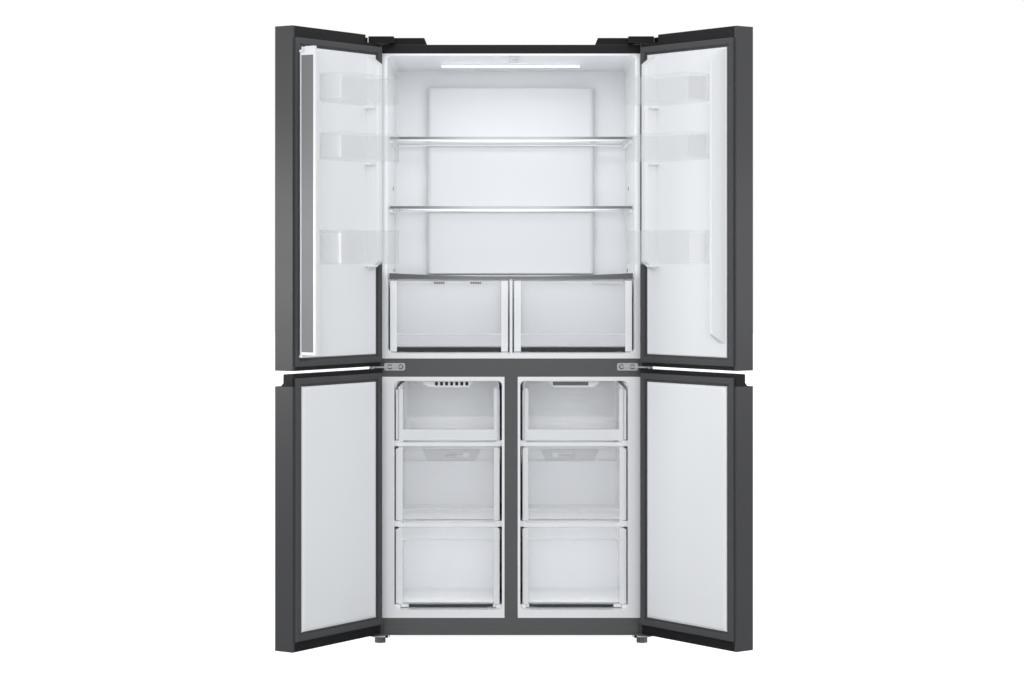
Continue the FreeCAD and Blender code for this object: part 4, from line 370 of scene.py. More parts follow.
def painted_highlight_group():
    """A painted highlight: one shade in the middle of the refrigerator's width, changing to a darker one
    towards both sides.
    """
    group, entry, leave = new_group(
        "darker_ends",
        [
            ("Middle", "NodeSocketColor", (0.7, 0.7, 0.7, 1.0)),
            ("Ends", "NodeSocketColor", (0.3, 0.3, 0.3, 1.0)),
            ("Start", "NodeSocketFloat", 0.08),
            ("End", "NodeSocketFloat", 0.33),
        ],
        [("Color", "NodeSocketColor")],
    )
    split = group.nodes.new("ShaderNodeSeparateXYZ")
    away = group.nodes.new("ShaderNodeMath")
    away.operation = "ABSOLUTE"
    ramp = group.nodes.new("ShaderNodeMapRange")
    ramp.interpolation_type = "SMOOTHSTEP"
    mix = group.nodes.new("ShaderNodeMix")
    mix.data_type = "RGBA"
    group.links.new(object_place(group), split.inputs[0])
    group.links.new(split.outputs["X"], away.inputs[0])
    group.links.new(away.outputs[0], ramp.inputs["Value"])
    group.links.new(entry.outputs["Start"], ramp.inputs["From Min"])
    group.links.new(entry.outputs["End"], ramp.inputs["From Max"])
    group.links.new(ramp.outputs["Result"], mix.inputs["Factor"])
    group.links.new(entry.outputs["Middle"], mix.inputs["A"])
    group.links.new(entry.outputs["Ends"], mix.inputs["B"])
    group.links.new(mix.outputs["Result"], leave.inputs["Color"])
    return group


def level_group():
    """One value below a place along an axis of the object and another above it."""
    group, entry, leave = new_group(
        "level_step",
        [
            ("Axis", "NodeSocketVector", (0.0, 1.0, 0.0)),
            ("Place", "NodeSocketFloat", 0.0),
            ("Width", "NodeSocketFloat", 0.0005),
            ("Before", "NodeSocketFloat", 0.3),
            ("After", "NodeSocketFloat", 1.0),
        ],
        [("Value", "NodeSocketFloat")],
    )
    along = group.nodes.new("ShaderNodeVectorMath")
    along.operation = "DOT_PRODUCT"
    end = join_values(group, "ADD", entry.outputs["Place"], entry.outputs["Width"])
    step = group.nodes.new("ShaderNodeMapRange")
    group.links.new(object_place(group), along.inputs[0])
    group.links.new(entry.outputs["Axis"], along.inputs[1])
    group.links.new(along.outputs["Value"], step.inputs["Value"])
    group.links.new(entry.outputs["Place"], step.inputs["From Min"])
    group.links.new(end, step.inputs["From Max"])
    group.links.new(entry.outputs["Before"], step.inputs["To Min"])
    group.links.new(entry.outputs["After"], step.inputs["To Max"])
    group.links.new(step.outputs["Result"], leave.inputs["Value"])
    return group


GRAIN = grain_group()
MOTTLE = mottle_group()
BRUSHING = brushing_group()
PAINTED_STRIP_HIGHLIGHT = painted_highlight_group()
LEVEL_STEP = level_group()
print("node groups", [group.name for group in bpy.data.node_groups])

# %% [markdown]
# Every opaque finish starts from the same few nodes: a mottled colour and roughness, and a bump from the
# grain. What makes one finish differ from the next and is the same all over is set on the shader itself, so
# that it survives export. A grain is a pair: how fine the noise is, and how strong its bump.

# %% Functions for the finishes
PLAIN_GRAIN = (900.0, 0.02)
MOULDED_GRAIN = (1200.0, 0.03)
POWDER_GRAIN = (1400.0, 0.05)
GRAIN_DEPTH = 0.0005
LINE_STRETCH = (0.02, 1.0, 1.0)
LINE_SCALE = 900.0
LINE_BUMP = 0.08
LINE_DEPTH = 0.0004
CLEAR_MOTTLE = 0.97


def new_finish(name, metallic):
    """A material and its shader."""
    material = bpy.data.materials.new(name)
    material.use_nodes = True
    shader = material.node_tree.nodes["Principled BSDF"]
    shader.inputs["Metallic"].default_value = metallic
    return material, shader


def place_group(material, group):
    """The group as a node in a material."""
    node = material.node_tree.nodes.new("ShaderNodeGroup")
    node.node_tree = group
    return node


def add_bump(material, shader, height, strength, depth):
    """A bump from a height socket on the shader's normal."""
    bump = material.node_tree.nodes.new("ShaderNodeBump")
    bump.inputs["Strength"].default_value = strength
    bump.inputs["Distance"].default_value = depth
    material.node_tree.links.new(height, bump.inputs["Height"])
    material.node_tree.links.new(bump.outputs["Normal"], shader.inputs["Normal"])


def opaque_finish(
    name, shade, darker, roughness, grain=PLAIN_GRAIN, mottle=5.0, metallic=0.0, coat=0.0, gloss=0.5
):
    """A moulded or painted finish with slow mottle and fine grain."""
    material, shader = new_finish(name, metallic)
    shader.inputs["Coat Weight"].default_value = coat
    shader.inputs["Specular IOR Level"].default_value = gloss
    slow = place_group(material, MOTTLE)
    slow.inputs["Shade"].default_value = (*shade, 1.0)
    slow.inputs["Darker Shade"].default_value = (*darker, 1.0)
    slow.inputs["Scale"].default_value = mottle
    slow.inputs["Least Roughness"].default_value = roughness[0]
    slow.inputs["Most Roughness"].default_value = roughness[1]
    material.node_tree.links.new(slow.outputs["Color"], shader.inputs["Base Color"])
    material.node_tree.links.new(slow.outputs["Roughness"], shader.inputs["Roughness"])
    fine = place_group(material, GRAIN)
    fine.inputs["Scale"].default_value = grain[0]
    add_bump(material, shader, fine.outputs["Height"], grain[1], GRAIN_DEPTH)
    return material


def strip_finish(name, middle, ends, roughness, metallic):
    """A metallised strip, brushed along its length, with a painted highlight in the middle and painted shade
    towards both ends.
    """
    material, shader = new_finish(name, metallic)
    shader.inputs["Roughness"].default_value = roughness
    shade = place_group(material, PAINTED_STRIP_HIGHLIGHT)
    shade.inputs["Middle"].default_value = (*middle, 1.0)
    shade.inputs["Ends"].default_value = (*ends, 1.0)
    material.node_tree.links.new(shade.outputs["Color"], shader.inputs["Base Color"])
    lines = place_group(material, BRUSHING)
    lines.inputs["Stretch"].default_value = LINE_STRETCH
    lines.inputs["Scale"].default_value = LINE_SCALE
    add_bump(material, shader, lines.outputs["Height"], LINE_BUMP, LINE_DEPTH)
    return material


def pale_finish(name, shade, roughness):
    """A pale plastic with hardly any mottle, and its shader."""
    material = opaque_finish(name, shade, tuple(value * CLEAR_MOTTLE for value in shade), roughness)
    return material, material.node_tree.nodes["Principled BSDF"]


def clear_finish(name, shade, alpha, roughness):
    """Clear or frosted plastic: pale, partly see-through, with a soft gloss."""
    material, shader = pale_finish(name, shade, roughness)
    shader.inputs["Alpha"].default_value = alpha
    return material


def window_finish(name, shade, back_of_window, alpha, roughness):
    """A white tub whose front wall, up to a depth along Y, is frosted clear."""
    material, shader = pale_finish(name, shade, roughness)
    front = place_group(material, LEVEL_STEP)
    front.inputs["Place"].default_value = back_of_window
    front.inputs["Before"].default_value = alpha
    material.node_tree.links.new(front.outputs["Value"], shader.inputs["Alpha"])
    return material


# %% [markdown]
# The outside is dark grey painted steel with a powder grain. In a white studio such doors read as a mid grey
# that gets darker towards the floor. The light does that, so the paint itself stays even. The doors' caps
# are plastic with a strong grain, gaskets are matt rubber, the near-black of the strips in dark slots is
# painted shadow, and hinges and feet are metal.

# %% Finishes of the outside
body_paint = opaque_finish(
    "body_paint", shade=(0.066, 0.066, 0.068), darker=(0.06, 0.06, 0.062), roughness=(0.38, 0.46),
    grain=POWDER_GRAIN, gloss=0.3,
)
rail_paint = opaque_finish(
    "rail_paint", shade=(0.114, 0.116, 0.117), darker=(0.104, 0.106, 0.107), roughness=(0.45, 0.55),
    grain=POWDER_GRAIN, gloss=0.3,
)
top_rail_paint = opaque_finish(
    "top_rail_paint", shade=(0.02, 0.02, 0.021), darker=(0.016, 0.016, 0.017), roughness=(0.4, 0.5),
    gloss=0.2,
)
cap_plastic = opaque_finish(
    "cap_plastic", shade=(0.013, 0.013, 0.014), darker=(0.01, 0.01, 0.011), roughness=(0.45, 0.6),
    grain=(1100.0, 0.12), gloss=0.2,
)
gasket_rubber = opaque_finish(
    "gasket_rubber", shade=(0.085, 0.086, 0.09), darker=(0.07, 0.07, 0.074), roughness=(0.6, 0.75),
    grain=(700.0, 0.1), gloss=0.25,
)
# A near-black finish that paints the shadow in the slots under the drawers and in the ceiling slits.
seal_dark = opaque_finish(
    "seal_dark", shade=(0.03, 0.031, 0.033), darker=(0.024, 0.025, 0.027), roughness=(0.5, 0.6)
)
# A near-black finish that paints the shade in the crisper's vent slots and round the hinge screws.
hinge_dark = opaque_finish(
    "hinge_dark", shade=(0.07, 0.071, 0.073), darker=(0.06, 0.061, 0.063), roughness=(0.45, 0.55),
    metallic=0.3,
)
foot_grey = opaque_finish(
    "foot_grey", shade=(0.3, 0.3, 0.306), darker=(0.24, 0.24, 0.246), roughness=(0.35, 0.5), metallic=0.4
)
plain_steel = opaque_finish(
    "plain_steel", shade=(0.42, 0.43, 0.44), darker=(0.39, 0.4, 0.41), roughness=(0.42, 0.5), metallic=0.4
)
zinc_plate = opaque_finish(
    "zinc_plate", shade=(0.8, 0.81, 0.82), darker=(0.74, 0.75, 0.76), roughness=(0.3, 0.4), metallic=0.15
)
hinge_steel = opaque_finish(
    "hinge_steel", shade=(0.62, 0.63, 0.64), darker=(0.55, 0.56, 0.57), roughness=(0.26, 0.34), metallic=0.9
)
print("finishes of the outside", len(bpy.data.materials))

# %% [markdown]
# Inside, nearly everything is white polystyrene with a satin gloss and a slightly cool tint. Each moulding
# has its own white, because the liner and the drawers come from different tools and don't match quite. The
# duct panel's white is the liner's plastic made darker, painted shade. The flap's plate and the guide are
# greys of the same plastic, and the grey of the air outlets' plates is painted shade.

# %% White and grey plastic of the inside
white_liner = opaque_finish(
    "white_liner", shade=(0.91, 0.92, 0.935), darker=(0.885, 0.895, 0.91), roughness=(0.28, 0.36),
    grain=MOULDED_GRAIN,
)
duct_white = opaque_finish(
    "duct_white", shade=(0.79, 0.802, 0.822), darker=(0.765, 0.778, 0.798), roughness=(0.3, 0.38),
    grain=MOULDED_GRAIN,
)
white_trim = opaque_finish(
    "white_trim", shade=(0.84, 0.85, 0.87), darker=(0.81, 0.82, 0.84), roughness=(0.3, 0.4)
)
flap_grey = opaque_finish(
    "flap_grey", shade=(0.18, 0.182, 0.186), darker=(0.16, 0.162, 0.166), roughness=(0.4, 0.5),
    grain=(1200.0, 0.05),
)
guide_grey = opaque_finish(
    "guide_grey", shade=(0.64, 0.65, 0.66), darker=(0.6, 0.61, 0.62), roughness=(0.4, 0.5)
)
# On the freezer's outlet plates this grey is painted shade.
outlet_grey = opaque_finish(
    "outlet_grey", shade=(0.6, 0.61, 0.63), darker=(0.56, 0.57, 0.59), roughness=(0.35, 0.45)
)
crisper_white = opaque_finish(
    "crisper_white", shade=(0.84, 0.85, 0.865), darker=(0.81, 0.82, 0.835), roughness=(0.25, 0.35),
    grain=MOULDED_GRAIN,
)
drawer_white = opaque_finish(
    "drawer_white", shade=(0.85, 0.86, 0.875), darker=(0.82, 0.83, 0.845), roughness=(0.25, 0.35),
    grain=MOULDED_GRAIN,
)
print("with the inside", len(bpy.data.materials))

# %% [markdown]
# Bins, drawer fronts and shelves are clear. Thin plastic bends light so little that a low alpha does for it,
# and it is far quicker to render than refraction. A tub is one solid with a clear front and white walls, so
# its finish steps from one alpha to another just behind the front wall.

# %% Clear plastic, windows and glass
CRISPER_WINDOW = 0.0185
DRAWER_WINDOW = 0.0165

crisper_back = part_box("crisper_left")[0][1] + CRISPER_WINDOW
drawer_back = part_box("middle_freezer_drawer_left")[0][1] + DRAWER_WINDOW
clear_plastic = clear_finish("clear_plastic", shade=(0.66, 0.67, 0.69), alpha=0.12, roughness=(0.12, 0.2))
left_frost = clear_finish("left_frost", shade=(0.97, 0.975, 0.985), alpha=0.6, roughness=(0.3, 0.4))
# The right door's frosted ends are the left's plastic made darker: painted shade.
right_frost = clear_finish("right_frost", shade=(0.78, 0.785, 0.795), alpha=0.5, roughness=(0.3, 0.4))
shelf_glass = clear_finish("shelf_glass", shade=(0.8, 0.86, 0.86), alpha=0.25, roughness=(0.03, 0.06))
crisper_plastic = window_finish("crisper_plastic", (0.84, 0.85, 0.87), crisper_back, 0.36, (0.15, 0.25))
drawer_plastic = window_finish("drawer_plastic", (0.85, 0.86, 0.88), drawer_back, 0.25, (0.15, 0.25))
print("windows end at", round(crisper_back, 4), round(drawer_back, 4))

# %% [markdown]
# The shelves' strips are metallised plastic. Their colour holds a painted highlight, bright in the middle of
# the width as if under the ceiling light, and painted shade towards both ends. The ceiling light is a white
# lens whose lower face glows. Its solid reaches up into the ceiling, so the glow stops a few millimetres
# above that face.

# %% Strips and the lens of the ceiling light
LENS_POWER = 2.0
LENS_GLOW = 0.004

shelf_strip = strip_finish(
    "shelf_strip", middle=(0.5, 0.51, 0.52), ends=(0.16, 0.164, 0.172), roughness=0.4, metallic=0.2
)
cover_strip = strip_finish(
    "cover_strip", middle=(0.2, 0.205, 0.215), ends=(0.12, 0.123, 0.13), roughness=0.45, metallic=0.2
)
light_lens = opaque_finish(
    "light_lens", shade=(0.95, 0.96, 1.0), darker=(0.93, 0.94, 0.98), roughness=(0.2, 0.3)
)
lens_shader = light_lens.node_tree.nodes["Principled BSDF"]
lens_shader.inputs["Emission Strength"].default_value = LENS_POWER
glow = place_group(light_lens, LEVEL_STEP)
glow.inputs["Axis"].default_value = (0.0, 0.0, 1.0)
glow.inputs["Place"].default_value = light_low[2] + LENS_GLOW
glow.inputs["Before"].default_value = 1.0
glow.inputs["After"].default_value = 0.0
light_lens.node_tree.links.new(glow.outputs["Value"], lens_shader.inputs["Emission Color"])
print("lens glows up to", round(light_low[2] + LENS_GLOW, 4))

# %% [markdown]
# The cooling parts are seen only from behind or with the covers off: a black compressor with a coat of
# lacquer, bare fins, and yellowish foam, which has a coarse grain and quick mottle.

# %% Finishes of the cooling parts
foam = opaque_finish(
    "foam", shade=(0.78, 0.7, 0.48), darker=(0.7, 0.61, 0.4), roughness=(0.8, 0.95), grain=(300.0, 0.5),
    mottle=40.0,
)
compressor_black = opaque_finish(
    "compressor_black", shade=(0.02, 0.02, 0.021), darker=(0.015, 0.015, 0.016), roughness=(0.2, 0.3),
    coat=0.4,
)
coil_metal = opaque_finish(
    "coil_metal", shade=(0.7, 0.71, 0.72), darker=(0.6, 0.61, 0.62), roughness=(0.3, 0.45), metallic=0.9
)
print("finishes in all", len(bpy.data.materials))

# %% [markdown]
# Each node of the frame gets one finish. The table goes by the node's name, or by the part of the name that
# all of a kind share, such as the gaskets of the four doors. Clear nodes cast no shadow and are left out of
# diffuse light, because real clear plastic hardly darkens what stands behind it.

# %% Give each node its finish
FINISHES = {
    "cabinet_shell": body_paint,
    "top_rail": top_rail_paint,
    "centre_rail": rail_paint,
    "base_rail": rail_paint,
    "back_panel": plain_steel,
    "base_plate": plain_steel,
    "machine_room_cover": plain_steel,
    "roller_brackets": plain_steel,
    "foam_insulation": foam,
    "fridge_liner": white_liner,
    "freezer_liners": white_liner,
    "air_duct_cover": duct_white,
    "freezer_ducts": white_liner,
    "mullion_guide": guide_grey,
    "mullion_flap": white_trim,
    "mullion_flap_plate": flap_grey,
    "ceiling_light": light_lens,
    "shelf_frames": white_trim,
    "shelf_glass": shelf_glass,
    "crisper": crisper_plastic,
    "freezer_drawer": drawer_plastic,
    "top_freezer_drawer": drawer_white,
    "door_bins": clear_plastic,
    "door_skin": body_paint,
    "door_caps": cap_plastic,
    "door_liner": white_liner,
    "door_gasket": gasket_rubber,
    "top_hinge_covers": cap_plastic,
    "top_hinges": hinge_steel,
    "centre_hinges": hinge_steel,
    "bottom_hinges": rail_paint,
    "front_foot": foot_grey,
    "rear_roller": cap_plastic,
    "evaporator_fan": cap_plastic,
    "condenser_fan": cap_plastic,
    "fan_motors": cap_plastic,
    "drip_tray": cap_plastic,
    "compressor": compressor_black,
    "evaporator": coil_metal,
    "condenser": coil_metal,
}
CLEAR_NODES = ("upper_left_door_bins", "upper_right_door_bins", "shelf_glass")


def finish_for(name):
    """The finish whose key is the node's name, or the longest key that is part of it."""
    if name in FINISHES:
        return FINISHES[name]
    return FINISHES[max((key for key in FINISHES if key in name), key=len)]


def let_light_through(thing):
    """No shadow from a clear piece, and no part in diffuse light."""
    thing.visible_shadow = False
    thing.visible_diffuse = False


for name, node in nodes.items():
    for slot in node.material_slots:
        slot.material = finish_for(name)
for name in CLEAR_NODES:
    let_light_through(nodes[name])
print("finished nodes", len(nodes), "of which clear", len(CLEAR_NODES))

# %% [markdown]
# The rest of the cells add trim that the solids leave out. Each piece is built in place with bmesh, rides on
# the body it belongs to, and takes the finish that it is given. Bars, round heads and screws come back
# often, so each has a function, and all their edges are softened, because a real edge catches light.

# %% Building small pieces
CLEARANCE = 0.0001
THIN_SOFT = 0.0002
DISC_SEGMENTS = 24
RIM_ANGLE = 0.7
RIM_SHARE = 0.25
HEAD_TAPER = 0.8
CROSS_REACH = 0.9
CROSS_WIDTH = 0.22
CROSS_RISE = 0.1


def piece(name, bm, finish, body):
    """A finished bmesh as a named object on a body."""
    bmesh.ops.recalc_face_normals(bm, faces=bm.faces[:])
    mesh = bpy.data.meshes.new(name)
    bm.to_mesh(mesh)
    bm.free()
    mesh.materials.append(finish)
    made = bpy.data.objects.new(name, mesh)
    bpy.context.scene.collection.objects.link(made)
    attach(made, body)
    return made


def soften(bm, edges, offset, segments=2):
    """Edges rounded off."""
    bmesh.ops.bevel(
        bm, geom=edges, offset=offset, segments=segments, profile=0.5, affect="EDGES", material=-1
    )


def extrude_faces(bm, faces):
    """Faces grown into a body, and the vertices of its new end."""
    grown = bmesh.ops.extrude_face_region(bm, geom=faces)["geom"]
    return [item for item in grown if isinstance(item, bmesh.types.BMVert)]


def add_bar(bm, low, high, soft):
    """A box between two corners with softened edges."""
    verts = bmesh.ops.create_cube(bm, size=1.0)["verts"]
    low = Vector(low)
    high = Vector(high)
    bmesh.ops.scale(bm, vec=high - low, verts=verts)
    bmesh.ops.translate(bm, vec=(low + high) / 2, verts=verts)
    corners = set(verts)
    soften(bm, [edge for edge in bm.edges if edge.verts[0] in corners], soft)


def add_disc(bm, place, axis, radius, rise, taper):
    """A low round head with softened rims that stands on a surface, and the frame that it was built in."""
    turn = Vector(axis).to_track_quat("Z", "Y").to_matrix().to_4x4()
    base = Matrix.Translation(place) @ turn
    verts = bmesh.ops.create_cone(
        bm, cap_ends=True, segments=DISC_SEGMENTS, radius1=radius, radius2=radius * taper, depth=rise,
        matrix=base @ Matrix.Translation((0, 0, rise / 2)),
    )["verts"]
    ends = set(verts)
    rims = [edge for edge in bm.edges if edge.verts[0] in ends and edge.calc_face_angle(0) > RIM_ANGLE]
    soften(bm, rims, rise * RIM_SHARE)
    return base


def add_screw(bm, place, axis, radius, rise):
    """A pan head with a cross, standing on a surface."""
    base = add_disc(bm, place, axis, radius, rise, HEAD_TAPER)
    reach = radius * CROSS_REACH
    width = radius * CROSS_WIDTH
    for size in ((reach, width), (width, reach)):
        bar = bmesh.ops.create_cube(bm, size=1.0)["verts"]
        bmesh.ops.scale(bm, vec=(*size, rise * CROSS_RISE), verts=bar)
        bmesh.ops.transform(bm, matrix=base @ Matrix.Translation((0, 0, rise)), verts=bar)


# %% [markdown]
# The fronts of the crispers and freezer drawers are clear windows in white frames. The frames are thin skins
# over the proud parts of the clear solids, so the window between them stays clear. A crisper's frame ends in
# two feet, and thin stiles beside the freezer drawers close most of the gap to the liner.

# %% Frames and stiles of the drawers
SKIN = 0.0006
FRAME_SIDE = 0.0005
FRAME_END = 0.001
CRISPER_FRAME = 0.0205
CRISPER_PULL = 0.0395
DRAWER_FRAME = 0.0145
DRAWER_PULL = 0.0335
LIP_LINE = 0.0012
FOOT_DROP = 0.0125
FOOT_DEPTH = 0.008
FOOT_LAP = 0.0015
FOOT_SOFT = 0.0004
STILE_OUTER = 0.0055
STILE_INNER = 0.002
STILE_LAP = 0.001
STILE_DEPTH = (0.001, 0.0035)
STILE_RISE = 0.002
STILE_DROP = 0.004
STILE_SOFT = 0.0006


def front_frame(node, finish, sides, lip, drop=0.0):
    """White skins over the side frames of a drawer's front, their feet, and a thin line along its pull."""
    low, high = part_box(node)
    near = low[1] - SKIN
    far = low[1] - CLEARANCE
    uprights = ((low[0] + FRAME_SIDE, low[0] + sides), (high[0] - sides, high[0] - FRAME_SIDE))
    bm = bmesh.new()
    for x in uprights:
        add_bar(bm, (x[0], near, low[2] + FRAME_END), (x[1], far, high[2] - FRAME_END), THIN_SOFT)
    add_bar(bm, (low[0] + sides, near, lip - LIP_LINE), (high[0] - sides, far, lip + LIP_LINE), THIN_SOFT)
    if drop:
        for x in uprights:
            start = (x[0], low[1], low[2] - drop)
            add_bar(bm, start, (x[1], low[1] + FOOT_DEPTH, low[2] + FOOT_LAP), FOOT_SOFT)
    piece(node + "_frame", bm, finish, node)


def side_stiles(node, finish):
    """Thin stiles beside a freezer drawer's front, wider on the outer side."""
    low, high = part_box(node)
    left, right = (STILE_OUTER, STILE_INNER) if node.endswith("left") else (STILE_INNER, STILE_OUTER)
    near, far = (low[1] + depth for depth in STILE_DEPTH)
    bm = bmesh.new()
    for x in ((low[0] - left, low[0] + STILE_LAP), (high[0] - STILE_LAP, high[0] + right)):
        add_bar(bm, (x[0], near, low[2] + STILE_RISE), (x[1], far, high[2] - STILE_DROP), STILE_SOFT)
    piece(node + "_stiles", bm, finish, node)


for side in ("left", "right"):
    crisper = "crisper_" + side
    front_frame(crisper, crisper_white, CRISPER_FRAME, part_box(crisper)[0][2] + CRISPER_PULL, FOOT_DROP)
    drawer = "middle_freezer_drawer_" + side
    front_frame(drawer, drawer_white, DRAWER_FRAME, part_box(drawer)[0][2] + DRAWER_PULL)
    drawer = "bottom_freezer_drawer_" + side
    front_frame(drawer, drawer_white, DRAWER_FRAME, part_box(drawer)[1][2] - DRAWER_PULL)
    for level in ("top", "middle", "bottom"):
        side_stiles("%s_freezer_drawer_%s" % (level, side), drawer_white)
fronts = [made for made in bpy.data.objects if made.name.endswith(("_frame", "_stiles"))]
print("frames and stiles", len(fronts))

# %% [markdown]
# Each shelf carries a bright strip along its front edge, and the crisper cover a darker one. The cover's
# front bar has a hollow top, so its strip starts as a grid of one row whose upper side is bent to the same
# curve before it gets its thickness.

# %% Strips of the shelves and the crisper cover
SHELF_SETBACK = 0.13
SHELF_STEP = (0.0, 0.208)
STRIP_HEIGHT = 0.0085
STRIP_TOP = 0.0005
STRIP_INSET = 0.001
STRIP = 0.0012
STRIP_SOFT = 0.0004
COVER_BELOW_TOP_SHELF = 0.419
COVER_BAR_RISE = 0.010
COVER_DEPTH = 0.009
COVER_TOP_INSET = 0.0002
COVER_FOOT_INSET = 0.0005
COVER_POINTS = 32

frames_low, frames_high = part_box("shelf_frames")
front = front_plane + SHELF_SETBACK
for count, drop in enumerate(SHELF_STEP):
    top = frames_high[2] - drop
    start = (frames_low[0] + STRIP_INSET, front - STRIP, top - STRIP_HEIGHT)
    bm = bmesh.new()
    add_bar(bm, start, (frames_high[0] - STRIP_INSET, front - CLEARANCE, top - STRIP_TOP), STRIP_SOFT)
    piece("shelf_strip_%d" % (count + 1), bm, shelf_strip, "cabinet")

cover_top = frames_high[2] - COVER_BELOW_TOP_SHELF
cover_foot = cover_top - COVER_DEPTH + COVER_FOOT_INSET
half = frames_high[0] - STRIP_INSET
bm = bmesh.new()
bmesh.ops.create_grid(bm, x_segments=COVER_POINTS, y_segments=1, size=1.0)
for vert in bm.verts:
    rise = max(COVER_BAR_RISE * vert.co.x ** 2, COVER_TOP_INSET) - COVER_TOP_INSET
    height = cover_top + rise if vert.co.y > 0 else cover_foot
    vert.co = (half * vert.co.x, frames_low[1] - CLEARANCE, height)
bmesh.ops.translate(bm, vec=(0, -STRIP, 0), verts=extrude_faces(bm, bm.faces[:]))
piece("crisper_cover_strip", bm, cover_strip, "cabinet")
print("strips", len(SHELF_STEP) + 1)

# %% [markdown]
# Dark strips fill the slots under the crispers and the bottom drawers. They are painted shadow: the slots
# are only in shade. Under a bottom drawer the strip ends in a white foot on each side, longer on the outer
# one. All of them hang on the drawer and move with it.

# %% Painted shadow under the drawers
SHADOW_STRIP_DEPTH = (0.006, 0.009)
SHADOW_STRIP_TOP = 0.0005
SHADOW_STRIP_SOFT = 0.0005
CRISPER_SHADOW_INSET = 0.022
CRISPER_SHADOW_DROP = 0.0125
DRAWER_SHADOW_INSET = 0.034
DRAWER_SHADOW_DROP = 0.0085
DRAWER_FOOT_START = 0.009
DRAWER_FOOT_OUTER = 0.0325
DRAWER_FOOT_INNER = 0.0175
DRAWER_FOOT_DEPTH = (0.003, 0.0055)


def painted_shadow_strip(name, node, inset, drop):
    """A dark strip of painted shadow in the slot under a drawer's front."""
    low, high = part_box(node)
    start = (low[0] + inset, low[1] + SHADOW_STRIP_DEPTH[0], low[2] - drop)
    bm = bmesh.new()
    add_bar(bm, start, (high[0] - inset, low[1] + SHADOW_STRIP_DEPTH[1], low[2] - SHADOW_STRIP_TOP), SHADOW_STRIP_SOFT)
    piece(name, bm, seal_dark, node)


def shadow_strip_feet(name, node, left, right):
    """White feet that cover both ends of a strip of painted shadow."""
    low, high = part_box(node)
    near, far = (low[1] + depth for depth in DRAWER_FOOT_DEPTH)
    bm = bmesh.new()
    for x in ((low[0] + DRAWER_FOOT_START, low[0] + left), (high[0] - right, high[0] - DRAWER_FOOT_START)):
        add_bar(bm, (x[0], near, low[2] - DRAWER_SHADOW_DROP), (x[1], far, low[2] + FOOT_LAP), SHADOW_STRIP_SOFT)
    piece(name, bm, drawer_white, node)


for side, left, right in (
    ("left", DRAWER_FOOT_OUTER, DRAWER_FOOT_INNER), ("right", DRAWER_FOOT_INNER, DRAWER_FOOT_OUTER)
):
    painted_shadow_strip("crisper_%s_seal" % side, "crisper_" + side, CRISPER_SHADOW_INSET, CRISPER_SHADOW_DROP)
    drawer = "bottom_freezer_drawer_" + side
    painted_shadow_strip("bottom_drawer_%s_seal" % side, drawer, DRAWER_SHADOW_INSET, DRAWER_SHADOW_DROP)
    shadow_strip_feet("bottom_drawer_%s_feet" % side, drawer, left, right)

# %% [markdown]
# The bins on the upper doors are nearly clear, but the end wall next to the free edge is frosted. The doors
# stand open, so the panels are built as if the door were shut, where its walls lie along the axes, and then
# turned back around the hinge with the numbers of the joint.

# %% Frosted ends of the bins
BIN_HEIGHTS = (0.079, 0.076, 0.098)
BIN_STEP = 0.163
BIN_WALL = 0.0041
PANEL = 0.0008
PANEL_SOFT = PANEL / 4
PANEL_REACH = (0.044, 0.013)
PANEL_RISE = (0.006, 0.010)


def closing_turn(name):
    """The turn around a door's hinge that shuts it from the pose of the frame."""
    joint = next(item for item in frame["joints"] if item["name"] == name)
    place = Matrix.Translation(joint["pos_m"])
    angle = math.radians(joint["range_deg"][0])
    return place @ Matrix.Rotation(angle, 4, Vector(joint["axis"])) @ place.inverted()


def shut_points(node, shut):
    """The vertices of a door's node where they lie when it is shut."""
    return [shut @ node.matrix_world @ vert.co for vert in node.data.vertices]


for side, inward, frost in (("left", -1, left_frost), ("right", 1, right_frost)):
    shut = closing_turn("upper_%s_door_hinge" % side)
    points = shut_points(nodes["upper_%s_door_bins" % side], shut)
    low = Vector([min(point[axis] for point in points) for axis in range(3)])
    high = Vector([max(point[axis] for point in points) for axis in range(3)])
    wall = (high[0] if side == "left" else low[0]) + inward * BIN_WALL
    x = sorted((wall, wall + inward * PANEL))
    floors = (high[2] - BIN_HEIGHTS[0], high[2] - BIN_HEIGHTS[0] - BIN_STEP, low[2])
    bm = bmesh.new()
    for floor_height, height in zip(floors, BIN_HEIGHTS):
        near = (x[0], low[1] + PANEL_REACH[0], floor_height + PANEL_RISE[0])
        far = (x[1], high[1] - PANEL_REACH[1], floor_height + height - PANEL_RISE[1])
        add_bar(bm, near, far, PANEL_SOFT)
    bmesh.ops.transform(bm, matrix=shut.inverted(), verts=bm.verts[:])
    ends = piece("upper_%s_bin_ends" % side, bm, frost, "upper_%s_door" % side)
    let_light_through(ends)
print("bin ends turned with the doors")

# %% [markdown]
# The liners of the lower doors swell a little towards the freezer. Each gets a flat field with sloping
# sides, built on the shut door in the same way and turned back with it. One face is extruded and drawn in,
# and then its corners and its rim are rounded, in this order, so that the rim runs round the corners.

# %% Raised fields of the lower doors
FIELD_SLOPE = 0.006
FIELD_RISE = 0.0015
FIELD_SINK = 0.0005
FIELD_CORNER = 0.008
CORNER_SEGMENTS = 4
FIELD_SOFT = 0.0015
RIM_SEGMENTS = 3

